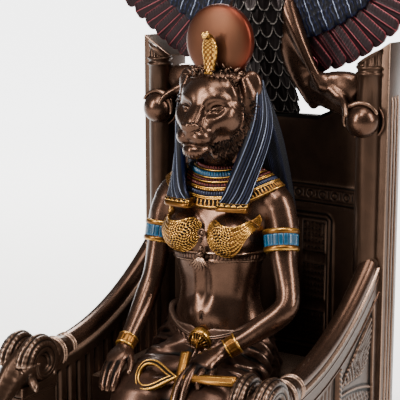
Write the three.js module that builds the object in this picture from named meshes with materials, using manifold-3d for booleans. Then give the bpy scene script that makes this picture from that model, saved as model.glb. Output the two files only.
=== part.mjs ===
// Seated lioness goddess on a throne, with a falcon that spreads its wings over the back.
// Millimetres, +Z up, the figure faces -Y. The origin is the middle of the underside.

import * as THREE from 'three';
import { LoftGeometry } from 'three/addons/geometries/LoftGeometry.js';
import { mergeVertices } from 'three/addons/utils/BufferGeometryUtils.js';
import Module from 'manifold-3d';

// Driving dimensions of the figure
const sittingHeight = 133;
const discRadius = 15.7;
const discThickness = 9;
const ankhBar = 3.4;
const ankhThickness = 2.4;

// Driving dimensions of the throne
const daisDepth = 142;
const daisPlinthHeight = 9;
const daisStepHeight = 5;
const daisStep = 2.5;
const daisMargin = 6;
const elbowClearance = 5.5;
const wigClearance = 15;
const panelThickness = 6;
const panelHollow = 6;
const panelRise = 113;
const sideThickness = 10.5;
const armHeight = 16.1;
const armRise = 35.3;
const armSweep = 2.2;
const armSetback = 34;
const rollRadius = 4.2;
const frameWidth = 5;
const recessDepth = 1.4;
const reliefLength = 60;
const fluteSpacing = 6.8;
const fluteWidth = 3.2;
const fluteDepth = 1.3;
const pillarDepth = 22;
const pillarDrop = 8;
const pillarFoot = 4;
const pillarMargin = 1;
const postRadius = 5.2;
const postRise = 39;
const blockMargin = 2;
const bandAboveOrb = 19.7;
const bandHeight = 3.4;
const orbRadius = 7.2;
const orbHeight = 113.3;
const socketRim = 3;
const ramLength = 27;

// Relief on the back panel, heights taken from the seat
const reliefRise = 0.9;
const friezeRise = 73;
const friezeHeight = 9.5;
const frameRise = 4;
const frameHeight = 66;
const frameHalf = 35;
const frameCorner = 5;
const frameRim = 2;
const tabletRows = 3;
const tabletWidth = 10.8;
const tabletHeight = 15.6;
const tabletOffset = 25;

// Driving dimensions of the falcon
const wingSpan = 190;
const wingThickness = 3.4;
const clawRadius = 1.7;

// Gap left between two castings that touch, and how far joined forms run into each other
const seam = 0.3;
const overlap = 1;

const wasm = await Module();
wasm.setup();

const AXIS_X = new THREE.Vector3(1, 0, 0);
const AXIS_Z = new THREE.Vector3(0, 0, 1);
const FORWARD = new THREE.Vector3(0, -1, 0);

// Solids and how they join

/** Turns a closed geometry into a solid, with its faces turned outwards. */
function solid(geometry) {
  const bare = new THREE.BufferGeometry();
  bare.setAttribute('position', geometry.attributes.position);
  bare.setIndex(geometry.index);
  const merged = mergeVertices(bare, 1e-4);
  const vertProperties = merged.attributes.position.array;
  const triVerts = new Uint32Array(merged.index.array);
  const corner = [0, 1, 2].map(() => new THREE.Vector3());
  let volume = 0;
  for (let i = 0; i < triVerts.length; i += 3) {
    corner.forEach((point, k) => point.fromArray(vertProperties, 3 * triVerts[i + k]));
    volume += corner[0].dot(corner[1].cross(corner[2]));
  }
  if (volume < 0) {
    triVerts.reverse();
  }
  return new wasm.Manifold(new wasm.Mesh({ numProp: 3, vertProperties, triVerts }));
}

const join = (solids) => solids.reduce((whole, piece) => whole.add(piece));

/** The same solid on the other side of the plane of symmetry. */
const mirrored = (piece) => piece.mirror([1, 0, 0]);

const bothSides = (piece) => [piece, mirrored(piece)];

/** A named mesh of one casting. */
function casting(name, piece, color, roughness, metalness) {
  const { vertProperties, triVerts } = piece.getMesh();
  const geometry = new THREE.BufferGeometry();
  geometry.setAttribute('position', new THREE.BufferAttribute(vertProperties, 3));
  geometry.setIndex(new THREE.BufferAttribute(triVerts, 1));
  geometry.computeVertexNormals();
  const material = new THREE.MeshStandardMaterial({ color, roughness, metalness });
  const mesh = new THREE.Mesh(geometry, material);
  mesh.name = name;
  return mesh;
}

// Sections and sweeps

/** A closed ring: an ellipse squared off by `power`, with its own height above and below. */
function ring(centre, across, rise, halfWidth, above, below, sides, power = 2) {
  return Array.from({ length: sides }, (_, i) => {
    const angle = (2 * Math.PI * (i + 0.5)) / sides;
    const soften = (value) => Math.sign(value) * Math.abs(value) ** (2 / power);
    const up = soften(Math.sin(angle));
    return centre.clone()
      .addScaledVector(across, halfWidth * soften(Math.cos(angle)))
      .addScaledVector(rise, up * (up > 0 ? above : below));
  });
}

const middleOf = (points) => points.reduce((sum, point) => sum.add(point), new THREE.Vector3())
  .divideScalar(points.length);

/** Skins a closed body through rings, which may all run either way round. */
function loft(sections) {
  const [first, second] = sections;
  const centre = middleOf(first);
  const normal = new THREE.Vector3();
  first.forEach((point, i) => {
    const next = first[(i + 1) % first.length].clone().sub(centre);
    normal.add(point.clone().sub(centre).cross(next));
  });
  const clockwise = normal.dot(middleOf(second).sub(centre)) < 0;
  const rings = clockwise ? sections.map((points) => points.slice().reverse()) : sections;
  return solid(new LoftGeometry(rings, { capStart: true, capEnd: true }));
}

/** Pushes every second point of a ring outwards by `depth`, for pleats and tufts. */
function pleat(points, depth) {
  const centre = middleOf(points);
  return points.map((point, i) => {
    const outward = point.clone().sub(centre).normalize();
    return point.clone().addScaledVector(outward, i % 2 ? depth : 0);
  });
}

/** A body of level sections. Rows: height, middle, half width, front, back. */
function trunk(place, rows, sides, power = 2, pleatDepth = 0) {
  const size = place.unit;
  return loft(rows.map(([height, middle, halfWidth, front, back]) => {
    const points = ring(place(0, middle, height), AXIS_X, FORWARD,
      halfWidth * size, front * size, back * size, sides, power);
    return pleatDepth ? pleat(points, pleatDepth * size) : points;
  }));
}

/** A limb through stations. Rows: x, y, z, half width, half depth. */
function limb(place, rows, sides, reference = AXIS_X, power = 2) {
  const size = place.unit;
  const spine = new THREE.CatmullRomCurve3(rows.map(([x, y, z]) => place(x, y, z)));
  return loft(rows.map(([, , , halfWidth, halfDepth], i) => {
    const share = i / (rows.length - 1);
    const tangent = spine.getTangent(share);
    const across = reference.clone().addScaledVector(tangent, -reference.dot(tangent)).normalize();
    const rise = tangent.clone().cross(across);
    return ring(spine.getPoint(share), across, rise, halfWidth * size,
      halfDepth * size, halfDepth * size, sides, power);
  }));
}

/** A ball squeezed to three half sizes. */
function ball(centre, halfSizes, sides = 10, rows = 6) {
  const geometry = new THREE.SphereGeometry(1, sides, rows);
  geometry.rotateX(Math.PI / 2);
  geometry.scale(...halfSizes);
  geometry.translate(centre.x, centre.y, centre.z);
  return solid(geometry);
}

function box(minimum, maximum) {
  const size = maximum.map((value, i) => value - minimum[i]);
  const geometry = new THREE.BoxGeometry(...size);
  geometry.translate(...maximum.map((value, i) => (value + minimum[i]) / 2));
  return solid(geometry);
}

/** Extrudes an outline drawn in X and Z from `front` back to `back`. */
function frontSlab(outline, front, back, curveSegments = 6) {
  const geometry = new THREE.ExtrudeGeometry(outline,
    { depth: back - front, bevelEnabled: false, curveSegments });
  const turn = new THREE.Matrix4().makeBasis(AXIS_X, AXIS_Z, FORWARD);
  geometry.applyMatrix4(turn.setPosition(0, back, 0));
  return solid(geometry);
}

/** Extrudes an outline drawn in Y and Z from `inner` out to `outer`. */
function sideSlab(outline, inner, outer) {
  const geometry = new THREE.ExtrudeGeometry(outline,
    { depth: outer - inner, bevelEnabled: false, curveSegments: 6 });
  const turn = new THREE.Matrix4().makeBasis(new THREE.Vector3(0, 1, 0), AXIS_Z, AXIS_X);
  geometry.applyMatrix4(turn.setPosition(inner, 0, 0));
  return solid(geometry);
}

const outlineOf = (pairs) => new THREE.Shape(pairs.map(([u, v]) => new THREE.Vector2(u, v)));

/** A rectangle with round corners, as an outline. */
function roundedOutline(left, right, bottom, top, radius) {
  const shape = new THREE.Shape();
  shape.absarc(right - radius, bottom + radius, radius, -Math.PI / 2, 0);
  shape.absarc(right - radius, top - radius, radius, 0, Math.PI / 2);
  shape.absarc(left + radius, top - radius, radius, Math.PI / 2, Math.PI);
  shape.absarc(left + radius, bottom + radius, radius, Math.PI, 1.5 * Math.PI);
  return shape;
}

// Frames of the figure and the throne

// The figure is laid out on a grid of squares, 133 of them from seat to crown
const square = sittingHeight / 133;
const daisTop = daisPlinthHeight + daisStepHeight;
const seatTop = daisTop + 62 * square;
const panelBack = daisDepth / 2 - daisStep;
const panelFront = panelBack - panelThickness;
const hipDepth = panelFront - wigClearance - 26.5 * square;
const seatFront = hipDepth - 31 * square;
const seatHalfWidth = 44 * square + elbowClearance;
const sideOuter = seatHalfWidth + sideThickness;
const postX = seatHalfWidth + 3.5;
const postY = panelFront - panelHollow - 3.5;
const armX = seatHalfWidth + 0.55 * sideThickness;
const armFront = -daisDepth / 2 + armSetback;
const orbX = postX - 1.2;
const orbY = postY - 3.3;
const orbZ = seatTop + orbHeight;
const panelTop = seatTop + panelRise;
const friezeFoot = seatTop + friezeRise;
const frameFoot = seatTop + frameRise;
const frameTop = frameFoot + frameHeight;

/** A point of the figure in squares: across, back and up from the middle of the seat. */
function figure(x, y, z) {
  return new THREE.Vector3(x * square, hipDepth + y * square, seatTop + seam + z * square);
}
figure.unit = square;

const millimetres = (x, y, z) => new THREE.Vector3(x, y, z);
millimetres.unit = 1;

// Figure: body

function torso() {
  return trunk(figure, [
    [0, -3, 24, 17, 17],
    [6, -3, 27, 19, 19],
    [24, -2.5, 22.6, 15.4, 15],
    [35, -2.6, 19.2, 14.2, 11.2],
    [43, -3, 18.9, 12.6, 10.6],
    [60, -4, 21.6, 12.4, 12.8],
    [80, -0.4, 25.4, 10.8, 12.7],
    [88, 1.5, 22, 10, 10.5],
    [93, 1.5, 9.6, 9.8, 9.2],
    [106, -3, 8.6, 8.6, 8.6],
  ], 10, 2.3);
}

/** The right arm lies along the thigh; the left arm crosses to the ankh. */
function arms() {
  const shoulder = [
    [23, 0.5, 82, 5.5, 6.5],
    [27, 0, 78, 7, 7.6],
    [30, -2.6, 66, 6, 6.4],
  ];
  const left = limb(figure, [
    ...shoulder,
    [33.2, -6.5, 53, 5.3, 5.6],
    [37.4, -10, 44.6, 5, 5.2],
    [38, -13.6, 39, 5, 5.1],
    [33, -16.6, 33.2, 5.1, 5.2],
    [15.5, -25.5, 21, 3.4, 3.6],
  ], 6);
  const right = limb(figure, [
    ...shoulder.map(([x, ...rest]) => [-x, ...rest]),
    [-30.4, -5.4, 52, 5.2, 5.5],
    [-30.6, -8.4, 42, 5, 5.2],
    [-31, -12.8, 36, 5.1, 4.9],
    [-30.8, -19.5, 28.5, 4.7, 4.5],
    [-29.6, -34, 16, 3.4, 2.6],
  ], 6);
  return [left, right];
}

/** A hand: stations of half width, thickness and groove depth, and a thumb beside them. */
function hand(stations, across, thumb) {
  const sideways = new THREE.Vector3(...across).normalize();
  const spine = new THREE.CatmullRomCurve3(stations.map(([x, y, z]) => figure(x, y, z)));
  const fingers = 4;
  const body = loft(stations.map(([, , , halfWidth, thickness, groove], i) => {
    const tangent = spine.getTangent(i / (stations.length - 1));
    const rise = tangent.clone().cross(sideways).normalize();
    const flank = rise.clone().cross(tangent);
    const centre = spine.getPoint(i / (stations.length - 1));
    const at = (side, up) => centre.clone().addScaledVector(flank, side * halfWidth * square)
      .addScaledVector(rise, up * square);
    const back = Array.from({ length: 2 * fingers - 1 }, (_, k) => (
      at((k + 1) / fingers - 1, thickness - (k % 2 ? groove : 0.3 * Math.abs(k - 3)))));
    return [at(-1, -0.4 * thickness), at(-1, 0.4 * thickness), ...back,
      at(1, 0.4 * thickness), at(1, -0.4 * thickness), at(0.6, -thickness), at(-0.6, -thickness)];
  }));
  return join([body, limb(figure, thumb, 4, sideways)]);
}

function hands() {
  const left = hand([
    [15.5, -25.5, 20.6, 3.4, 3, 0],
    [11.6, -30.6, 17.6, 5, 2.6, 0],
    [9, -34.4, 14.6, 5.4, 2.3, 0.5],
    [7.4, -39.4, 11.6, 5.4, 2, 1.2],
    [4.8, -43, 6.2, 4.6, 1.2, 0.8],
  ], [0.83, -0.42, -0.1], [
    [14.4, -28, 18, 1.7, 1.8],
    [15.6, -34, 13, 1.6, 1.7],
    [16, -38.5, 9, 0.8, 0.9],
  ]);
  const right = hand([
    [-29.8, -32, 17.4, 3.6, 2.6, 0],
    [-29.6, -38, 15, 5, 2.4, 0],
    [-29.4, -43, 12, 5.5, 2.1, 0.5],
    [-28.9, -47.2, 7.6, 5.5, 1.9, 1.2],
    [-28.4, -49.8, 1.6, 4.8, 1.2, 0.8],
  ], [1, 0.05, -0.05], [
    [-26.6, -34, 16, 1.7, 1.8],
    [-22.6, -39, 12.4, 1.6, 1.7],
    [-21, -43, 9.4, 0.8, 0.9],
  ]);
  return [left, right];
}

/** Thighs under the wrapped skirt, the hanging skirt and the feet. */
function legs() {
  const thigh = limb(figure, [
    [13, 6, 6, 13, 8],
    [14, -9, 7, 14, 8.4],
    [15.8, -33, 4.2, 13, 8.2],
    [16, -46, -4, 12, 8.6],
    [15.6, -48, -9, 11.4, 7.5],
  ], 8, AXIS_X, 2.2);
  const web = trunk(figure, [
    [0, -18, 22, 26, 20],
    [8, -18, 20, 22, 18],
  ], 6, 3);
  const skirt = trunk(figure, [
    [-1, -42, 25.6, 8.4, 8],
    [-14, -43.5, 26.2, 12, 8],
    [-53, -44, 21.6, 11, 10],
  ], 16, 2.6, 0.9);
  const foot = limb(figure, [
    [10.5, -41, -50, 4.6, 5.2],
    [10.5, -48, -57, 4.8, 4.6],
    [11.2, -65, -60.4, 5, 1.5],
  ], 6, AXIS_X, 2.6);
  return [...bothSides(thigh), web, skirt, ...bothSides(foot)];
}

/** The gathered cloth at each hip. */
function skirtFolds() {
  return bothSides(limb(figure, [
    [20, -3, 26, 3, 5],
    [25, -6, 21, 3.8, 6.5],
    [27, -9, 13, 3.8, 7],
    [28, -12, 3, 3, 5],
  ], 5, AXIS_X, 2.6));
}

// Figure: head

function skull() {
  const rows = [
    [7, 118, 11, 9, 11],
    [-4, 120.5, 17.4, 12.6, 16.4],
    [-13, 119.6, 17, 12.2, 17],
    [-18, 117.6, 14.2, 9.8, 16.8],
    [-21.6, 115.4, 10.4, 8.6, 15],
    [-27.4, 111.6, 7.8, 6, 9.4],
    [-28.8, 110.8, 4.4, 3.6, 5],
  ];
  return loft(rows.map(([y, z, halfWidth, above, below]) => ring(figure(0, y, z), AXIS_X, AXIS_Z,
    halfWidth * square, above * square, below * square, 10, 2.3)));
}

/** Brows, whisker pads, nose ridge and chin, added to the plain skull. */
function face() {
  const brow = limb(figure, [
    [3.4, -22, 122.8, 1.4, 1.4],
    [8, -19.6, 124.6, 2, 1.8],
    [13.6, -13.4, 121.6, 1, 1],
  ], 4);
  const pad = ball(figure(4.4, -24.8, 107.2), [4.8 * square, 4.6 * square, 4 * square], 6, 4);
  const ridge = limb(figure, [
    [0, -14, 130.6, 2.8, 1.4],
    [0, -20, 125.6, 3, 1.8],
    [0, -27.2, 115.6, 3.6, 1.8],
    [0, -29, 112.4, 2.6, 1.4],
  ], 4);
  const chin = ball(figure(0, -23.4, 101.8), [4.6 * square, 4 * square, 3 * square], 5, 3);
  return [...bothSides(brow), ...bothSides(pad), ridge, chin];
}

function ear() {
  const outer = ball(figure(13.8, -2.8, 131.2), [6.3 * square, 3.5 * square, 7 * square], 7, 4);
  const scoop = ball(figure(14.4, -6.2, 131), [4.4 * square, 4 * square, 5.2 * square], 4, 3);
  return outer.subtract(scoop);
}

/** The tufted ruff that rings the face in front of the wig. */
function ruff() {
  const tufts = 6;
  const sections = Array.from({ length: 2 * tufts + 1 }, (_, i) => {
    const angle = THREE.MathUtils.lerp(-0.34, 1.34, i / (2 * tufts)) * Math.PI;
    const radial = new THREE.Vector3(Math.cos(angle), 0, -Math.sin(angle));
    const centre = figure(16 * Math.cos(angle), -4 - 5 * Math.max(0, Math.sin(angle)),
      117 - 15.6 * Math.sin(angle));
    const reach = (i % 2 ? 4.4 : 3) * square;
    return ring(centre, radial, FORWARD, reach, 4.4 * square, 4.4 * square, 4);
  });
  return loft(sections);
}

/** The striped wig: a pleated hood down the back and a lappet over each shoulder. */
function wig() {
  const hood = trunk(figure, [
    [134, 4.2, 11, 7.4, 8],
    [124, 6, 18, 10.4, 12.4],
    [96, 10.4, 23.2, 7.8, 14.4],
    [69.6, 17, 26, 3.8, 8],
  ], 18, 2.4, 1);
  const stations = [
    [15.5, 0, 131, 5],
    [18.6, -2.8, 112, 6.6],
    [15.2, -12.4, 88, 6],
    [13.2, -15.2, 80, 6.4],
  ];
  const spine = new THREE.CatmullRomCurve3(stations.map(([x, y, z]) => figure(x, y, z)));
  const lappet = loft(stations.map(([, , , halfWidth], i) => {
    const share = i / (stations.length - 1);
    const turn = THREE.MathUtils.lerp(1.15, 0.12, share) * Math.PI / 2;
    const across = new THREE.Vector3(Math.cos(turn), Math.sin(turn), 0);
    const outward = new THREE.Vector3(Math.sin(turn), -Math.cos(turn), 0);
    return pleat(ring(spine.getPoint(share), across, outward, halfWidth * square,
      2.3 * square, 2.3 * square, 8, 3.4), 0.6 * square);
  }));
  const hem = limb(figure, [
    [13.3, -14.9, 83, 6.9, 2.9],
    [13, -16, 77.8, 7.2, 3.1],
  ], 6, AXIS_X, 3.6);
  return [hood, ...bothSides(lappet), ...bothSides(hem)];
}

/** A band round the body. Rows: half width, depth, height at the sides, height in front. */
function sling(sides, rows, middle) {
  return loft(rows.map(([halfWidth, depth, sideHeight, frontHeight]) => (
    Array.from({ length: sides }, (_, i) => {
      const angle = (2 * Math.PI * i) / sides;
      const drop = Math.cos(angle) ** 2;
      return figure(halfWidth * Math.sin(angle), middle - depth * Math.cos(angle),
        THREE.MathUtils.lerp(sideHeight, frontHeight, drop));
    })
  )));
}

/** The broad collar, dropping over the shoulders in steps. */
function collar() {
  return sling(12, [
    [9.2, 9.4, 95.5, 95.5],
    [22.4, 13.5, 91, 85.5],
    [28.2, 14.9, 87.6, 79.8],
    [27.6, 13.4, 84.6, 78],
  ], 0.6);
}

/** The cups, the slung belt and its clasp. */
function jewellery() {
  const cup = ball(figure(11.8, -12.4, 66), [10.8 * square, 10 * square, 9.4 * square], 8, 5);
  const hipBelt = sling(10, [
    [24.4, 17.6, 25, 16.4],
    [23.6, 17, 31.4, 22.6],
  ], -2.6);
  const clasp = ball(figure(0, -20, 19.4), [5.6 * square, 3 * square, 6.6 * square], 6, 4);
  return [...bothSides(cup), hipBelt, clasp];
}

/** The sun disc, a lens on edge, and the cobra in front of it. */
function discAndCobra() {
  const halfThickness = discThickness / 2;
  const rimThickness = 1.2;
  const arcs = 2;
  const profile = Array.from({ length: arcs + 1 }, (_, i) => {
    const angle = (Math.PI / 2) * (i / arcs);
    return new THREE.Vector2(discRadius * Math.sin(angle),
      rimThickness + (halfThickness - rimThickness) * Math.cos(angle));
  });
  const back = profile.map((point) => new THREE.Vector2(point.x, -point.y)).reverse();
  const lens = new THREE.LatheGeometry([...profile, ...back], 20);
  const centre = figure(0, -3.6, 0).setZ(figure(0, 0, 131.4).z + discRadius);
  lens.translate(centre.x, centre.y, centre.z);
  const hair = ball(figure(0, -4, 132), [13 * square, 11 * square, 4.6 * square], 8, 3);
  const cobra = limb(figure, [
    [0, -12.4, 132, 2.2, 1.9],
    [0, -11.6, 137, 2.4, 1.9],
    [0, -12, 144, 3.4, 1.5],
    [0, -13.4, 149.2, 1.9, 1.6],
    [0, -16.6, 149.8, 1, 0.9],
  ], 6);
  return [solid(lens), hair, cobra];
}

/** The ankh under the left hand: a flat loop, a cross bar and a shaft. */
function ankh() {
  const crossing = figure(2.1, -41.5, 12);
  const shaftWay = new THREE.Vector3(1, 0, 0.1).normalize();
  const armWay = new THREE.Vector3(-0.08, 0.6, 0.8).normalize();
  const faceWay = shaftWay.clone().cross(armWay);
  const turn = new THREE.Matrix4().makeBasis(shaftWay, armWay, faceWay).setPosition(crossing);
  const loopLength = 20.6 * square;
  const loopHalf = 6.4 * square;
  const shaft = 27 * square;
  const arm = 11.4 * square;
  const half = ankhBar / 2;
  const flat = (outline) => {
    const geometry = new THREE.ExtrudeGeometry(outline,
      { depth: ankhThickness, bevelEnabled: false, curveSegments: 4 });
    geometry.translate(0, 0, -ankhThickness / 2);
    return solid(geometry.applyMatrix4(turn));
  };
  const drop = (length, halfHeight) => {
    const shape = new THREE.Shape();
    shape.moveTo(0, 0);
    shape.bezierCurveTo(-0.3 * length, 0.4 * halfHeight, -0.42 * length, halfHeight,
      -0.68 * length, halfHeight);
    shape.bezierCurveTo(-length, halfHeight, -length, -halfHeight, -0.68 * length, -halfHeight);
    shape.bezierCurveTo(-0.42 * length, -halfHeight, -0.3 * length, -0.4 * halfHeight, 0, 0);
    return shape;
  };
  const loopOutline = drop(loopLength * 1.12, loopHalf * 1.08);
  const hole = drop(loopLength * 1.12 - 2.2 * ankhBar, loopHalf * 1.08 - 0.72 * ankhBar);
  loopOutline.holes.push(new THREE.Path(hole.getPoints(4).map((point) => (
    new THREE.Vector2(point.x - 1.5 * ankhBar, point.y)))));
  const bars = outlineOf([
    [-half, -arm], [half, -arm], [half, -half], [shaft, -1.3 * half], [shaft, 1.3 * half],
    [half, half], [1.3 * half, arm], [-1.3 * half, arm], [-half, half], [-half, -half],
  ]);
  return [flat(loopOutline), flat(bars)];
}

// Throne

/** The arm's centre line at a depth: level in front and rising ever faster to the post. */
function armCentre(y) {
  const share = Math.max(0, (y - armFront) / (postY - armFront));
  return millimetres(armX, y, seatTop + armHeight + armRise * share ** armSweep);
}

function armDepths(steps) {
  return Array.from({ length: steps + 1 }, (_, i) => (
    THREE.MathUtils.lerp(armFront, postY, i / steps)));
}

function dais() {
  const half = sideOuter + daisMargin;
  const inset = daisStep;
  return [
    box([-half, -daisDepth / 2, 0], [half, daisDepth / 2, daisPlinthHeight]),
    box([-half + inset, -daisDepth / 2 + inset, daisPlinthHeight - overlap],
      [half - inset, daisDepth / 2 - inset, daisTop]),
  ];
}

function seat() {
  return box([-seatHalfWidth - overlap, seatFront, daisTop - overlap],
    [seatHalfWidth + overlap, panelBack - overlap, seatTop]);
}

/** The room that the seat takes from the figure, which sits flat on it. */
function seatClearance() {
  return box([-seatHalfWidth, seatFront - seam, daisTop], [seatHalfWidth, panelBack, seatTop + seam]);
}

/** One side panel: flutes inside, and a framed recess outside. */
function sidePanel() {
  const top = armDepths(5).map((y) => [y, armCentre(y).z - rollRadius / 2]);
  const foot = daisTop - overlap;
  const rear = postY + postRadius - overlap;
  const side = outlineOf([[armFront, foot], [rear, foot], ...top.slice().reverse()]);
  const flutes = [];
  for (let y = armFront + fluteSpacing; y < postY - fluteSpacing; y += fluteSpacing) {
    const half = fluteWidth / 2;
    flutes.push([seatHalfWidth, y - half], [seatHalfWidth + fluteDepth, y], [seatHalfWidth, y + half]);
  }
  const plan = outlineOf([
    [sideOuter, rear], [sideOuter, armFront], [seatHalfWidth, armFront], ...flutes,
    [seatHalfWidth, rear],
  ]);
  const block = solid(new THREE.ExtrudeGeometry(plan, { depth: panelTop, bevelEnabled: false }));
  const edge = 1.5 * rollRadius + frameWidth;
  const reveal = armDepths(5).slice(1, -1).map((y) => [y, armCentre(y).z - edge]);
  const rearHeight = armCentre(postY - frameWidth).z - edge;
  const recess = sideSlab(outlineOf([
    [armFront + frameWidth, daisTop + frameWidth], [postY - frameWidth, daisTop + frameWidth],
    [postY - frameWidth, rearHeight], ...reveal.reverse(), [armFront + frameWidth, reveal.at(-1)[1]],
  ]), sideOuter - recessDepth, sideOuter + overlap);
  return block.intersect(sideSlab(side, seatHalfWidth - overlap, sideOuter + overlap))
    .subtract(recess);
}

/** A spread wing in low relief in the recess, its feathers fanned back under the arm. */
function sideRelief() {
  const feathers = 6;
  const face = sideOuter - recessDepth;
  const root = [armFront + frameWidth + 4, seatTop - 12];
  const outline = [root];
  for (let i = 0; i <= feathers; i += 1) {
    const share = i / feathers;
    const angle = THREE.MathUtils.lerp(0, 0.24, share) * Math.PI;
    const length = reliefLength * THREE.MathUtils.lerp(0.55, 1, share);
    const at = (reach) => [root[0] + reach * Math.cos(angle), root[1] + reach * Math.sin(angle)];
    outline.push(at(0.9 * length));
    if (i < feathers) {
      const next = angle + 0.02 * Math.PI;
      outline.push([root[0] + length * Math.cos(next), root[1] + length * Math.sin(next)]);
    }
  }
  outline.push([root[0], root[1] + 9]);
  return sideSlab(outlineOf(outline), face - overlap, face + 0.7 * recessDepth);
}

/** The rolled top of the arm. */
function armRoll() {
  const steps = 6;
  const path = new THREE.CatmullRomCurve3(armDepths(8).map(armCentre));
  const section = new THREE.Shape().absarc(0, 0, rollRadius, 0, 2 * Math.PI);
  return solid(new THREE.ExtrudeGeometry(section, { steps, extrudePath: path, curveSegments: 4 }));
}

/** The front pillar of an arm: a shaft with a foot and a cap, down to the dais. */
function armPillar() {
  const top = seatTop + armHeight - pillarDrop;
  const block = (reach, bottom, crown) => box(
    [seatHalfWidth - reach, armFront - pillarDepth - reach, bottom],
    [sideOuter + reach, armFront + overlap, crown]);
  const flutes = [1, 2, 3].map((i) => {
    const x = THREE.MathUtils.lerp(seatHalfWidth, sideOuter, i / 4);
    const length = top - daisTop - 4 * pillarFoot;
    const geometry = new THREE.CylinderGeometry(fluteDepth, fluteDepth, length, 4);
    geometry.rotateX(Math.PI / 2);
    geometry.translate(x, armFront - pillarDepth, (top + daisTop) / 2);
    return solid(geometry);
  });
  return [
    block(0, daisTop - overlap, top).subtract(join(flutes)),
    block(pillarMargin, daisTop - overlap, daisTop + pillarFoot),
    block(pillarMargin, top - pillarFoot, top),
  ];
}

/** A ram's head at the end of an arm: neck, skull, muzzle, ears and curled horns. */
function ramHead() {
  const unit = ramLength / 27;
  const middle = (seatHalfWidth + sideOuter) / 2;
  const local = (x, y, z) => millimetres(middle + x * unit, armFront - pillarDepth / 2 + y * unit,
    seatTop + armHeight + z * unit);
  local.unit = unit;
  const head = limb(local, [
    [0, 12, -3, 5.6, 7],
    [0, 0, -2.4, 8, 9],
    [0, -10, -3.6, 6.8, 7.4],
    [0, -18.6, -11.8, 4.4, 4.6],
    [0, -21.4, -15, 2.6, 2.8],
  ], 6);
  const lug = limb(local, [
    [6, -6, -4, 1.8, 1.2],
    [13.4, -9, -8.4, 1.2, 0.8],
  ], 4);
  const turns = 6;
  const horn = loft(Array.from({ length: turns + 1 }, (_, i) => {
    const share = i / turns;
    const angle = THREE.MathUtils.lerp(0.3, 2.2, share) * Math.PI;
    const reach = THREE.MathUtils.lerp(8.4, 5.4, share) * unit;
    const centre = local(THREE.MathUtils.lerp(5, 7.6, share), -1.5, -1.4);
    const radial = new THREE.Vector3(0, -Math.cos(angle), Math.sin(angle));
    centre.addScaledVector(radial, reach);
    const size = THREE.MathUtils.lerp(5, 1.4, share ** 1.4) * unit;
    return ring(centre, radial, AXIS_X, size, size, size, 5);
  }));
  const otherHalf = (piece) => piece.translate([-middle, 0, 0]).mirror([1, 0, 0])
    .translate([middle, 0, 0]);
  return join([head, lug, otherHalf(lug), horn, otherHalf(horn)]);
}

/** A post: a round column with a band and flutes over it, and a square block behind. */
function post() {
  const foot = daisTop - overlap;
  const crown = panelTop + postRise;
  const bandFoot = orbZ + bandAboveOrb;
  const drum = (radius, bottom, top) => {
    const geometry = new THREE.CylinderGeometry(radius, radius, top - bottom, 8);
    geometry.rotateX(Math.PI / 2);
    geometry.translate(postX, postY, (top + bottom) / 2);
    return solid(geometry);
  };
  const fluteCount = 3;
  const flutes = Array.from({ length: fluteCount }, (_, i) => {
    const angle = Math.PI * ((i + 0.5) / fluteCount);
    const cut = new THREE.CylinderGeometry(fluteDepth, fluteDepth, crown - bandFoot, 3);
    cut.rotateX(Math.PI / 2);
    cut.translate(postX + postRadius * Math.cos(angle), postY - postRadius * Math.sin(angle),
      (crown + bandFoot) / 2 + 2 * bandHeight);
    return solid(cut);
  });
  const block = box([postX - postRadius, postY, foot],
    [sideOuter + blockMargin, panelBack - overlap, crown]);
  const band = drum(postRadius + 0.6, bandFoot, bandFoot + bandHeight);
  return join([drum(postRadius, foot, crown).subtract(join(flutes)), block, band]);
}

/** The hollowed back panel with its band, frame and tablets. */
function backPanel() {
  const half = seatHalfWidth + overlap;
  const hollowAt = (x, raise) => panelFront - raise - panelHollow * (x / half) ** 2;
  const shell = (raise, bottom, top) => {
    const steps = 4;
    const front = Array.from({ length: steps + 1 }, (_, i) => {
      const x = THREE.MathUtils.lerp(-half, half, i / steps);
      return [x, hollowAt(x, raise)];
    });
    const rear = panelBack - overlap;
    const plan = outlineOf([[half, rear], [-half, rear], ...front]);
    const geometry = new THREE.ExtrudeGeometry(plan, { depth: top - bottom, bevelEnabled: false });
    geometry.translate(0, 0, bottom);
    return solid(geometry);
  };
  const foot = daisTop - overlap;
  const sideTop = orbZ + 2 * orbRadius;
  const flat = half / 2;
  const crest = new THREE.Shape();
  crest.moveTo(-half, foot);
  crest.lineTo(half, foot);
  crest.lineTo(half, sideTop);
  crest.quadraticCurveTo(half - flat / 2, panelTop + orbRadius, flat, panelTop);
  crest.lineTo(-flat, panelTop);
  crest.quadraticCurveTo(-half + flat / 2, panelTop + orbRadius, -half, sideTop);
  const body = shell(0, foot, sideTop).intersect(frontSlab(crest, 0, panelBack, 4));
  const band = shell(reliefRise, friezeFoot, friezeFoot + friezeHeight);
  const frame = roundedOutline(-frameHalf, frameHalf, frameFoot, frameTop, frameCorner);
  frame.holes.push(roundedOutline(-frameHalf + frameRim, frameHalf - frameRim,
    frameFoot + frameRim, frameTop - frameRim, frameCorner - frameRim));
  const rim = shell(reliefRise, frameFoot - overlap, frameTop + overlap)
    .intersect(frontSlab(frame, 0, panelBack, 1));
  const tablets = [];
  const pitch = (frameTop - frameFoot - 2 * frameRim) / tabletRows;
  for (let row = 0; row < tabletRows; row += 1) {
    for (const x of [-tabletOffset, tabletOffset]) {
      const low = frameFoot + frameRim + pitch * (row + 0.5) - tabletHeight / 2;
      tablets.push(box([x - tabletWidth / 2, hollowAt(x, reliefRise), low],
        [x + tabletWidth / 2, panelFront, low + tabletHeight]));
    }
  }
  const margin = 2 * frameWidth;
  const recess = box([-half + margin, panelBack - overlap - recessDepth, daisTop + margin],
    [half - margin, panelBack + overlap, panelTop - margin]);
  return join([body, band, rim, ...tablets]).subtract(recess);
}

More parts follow.
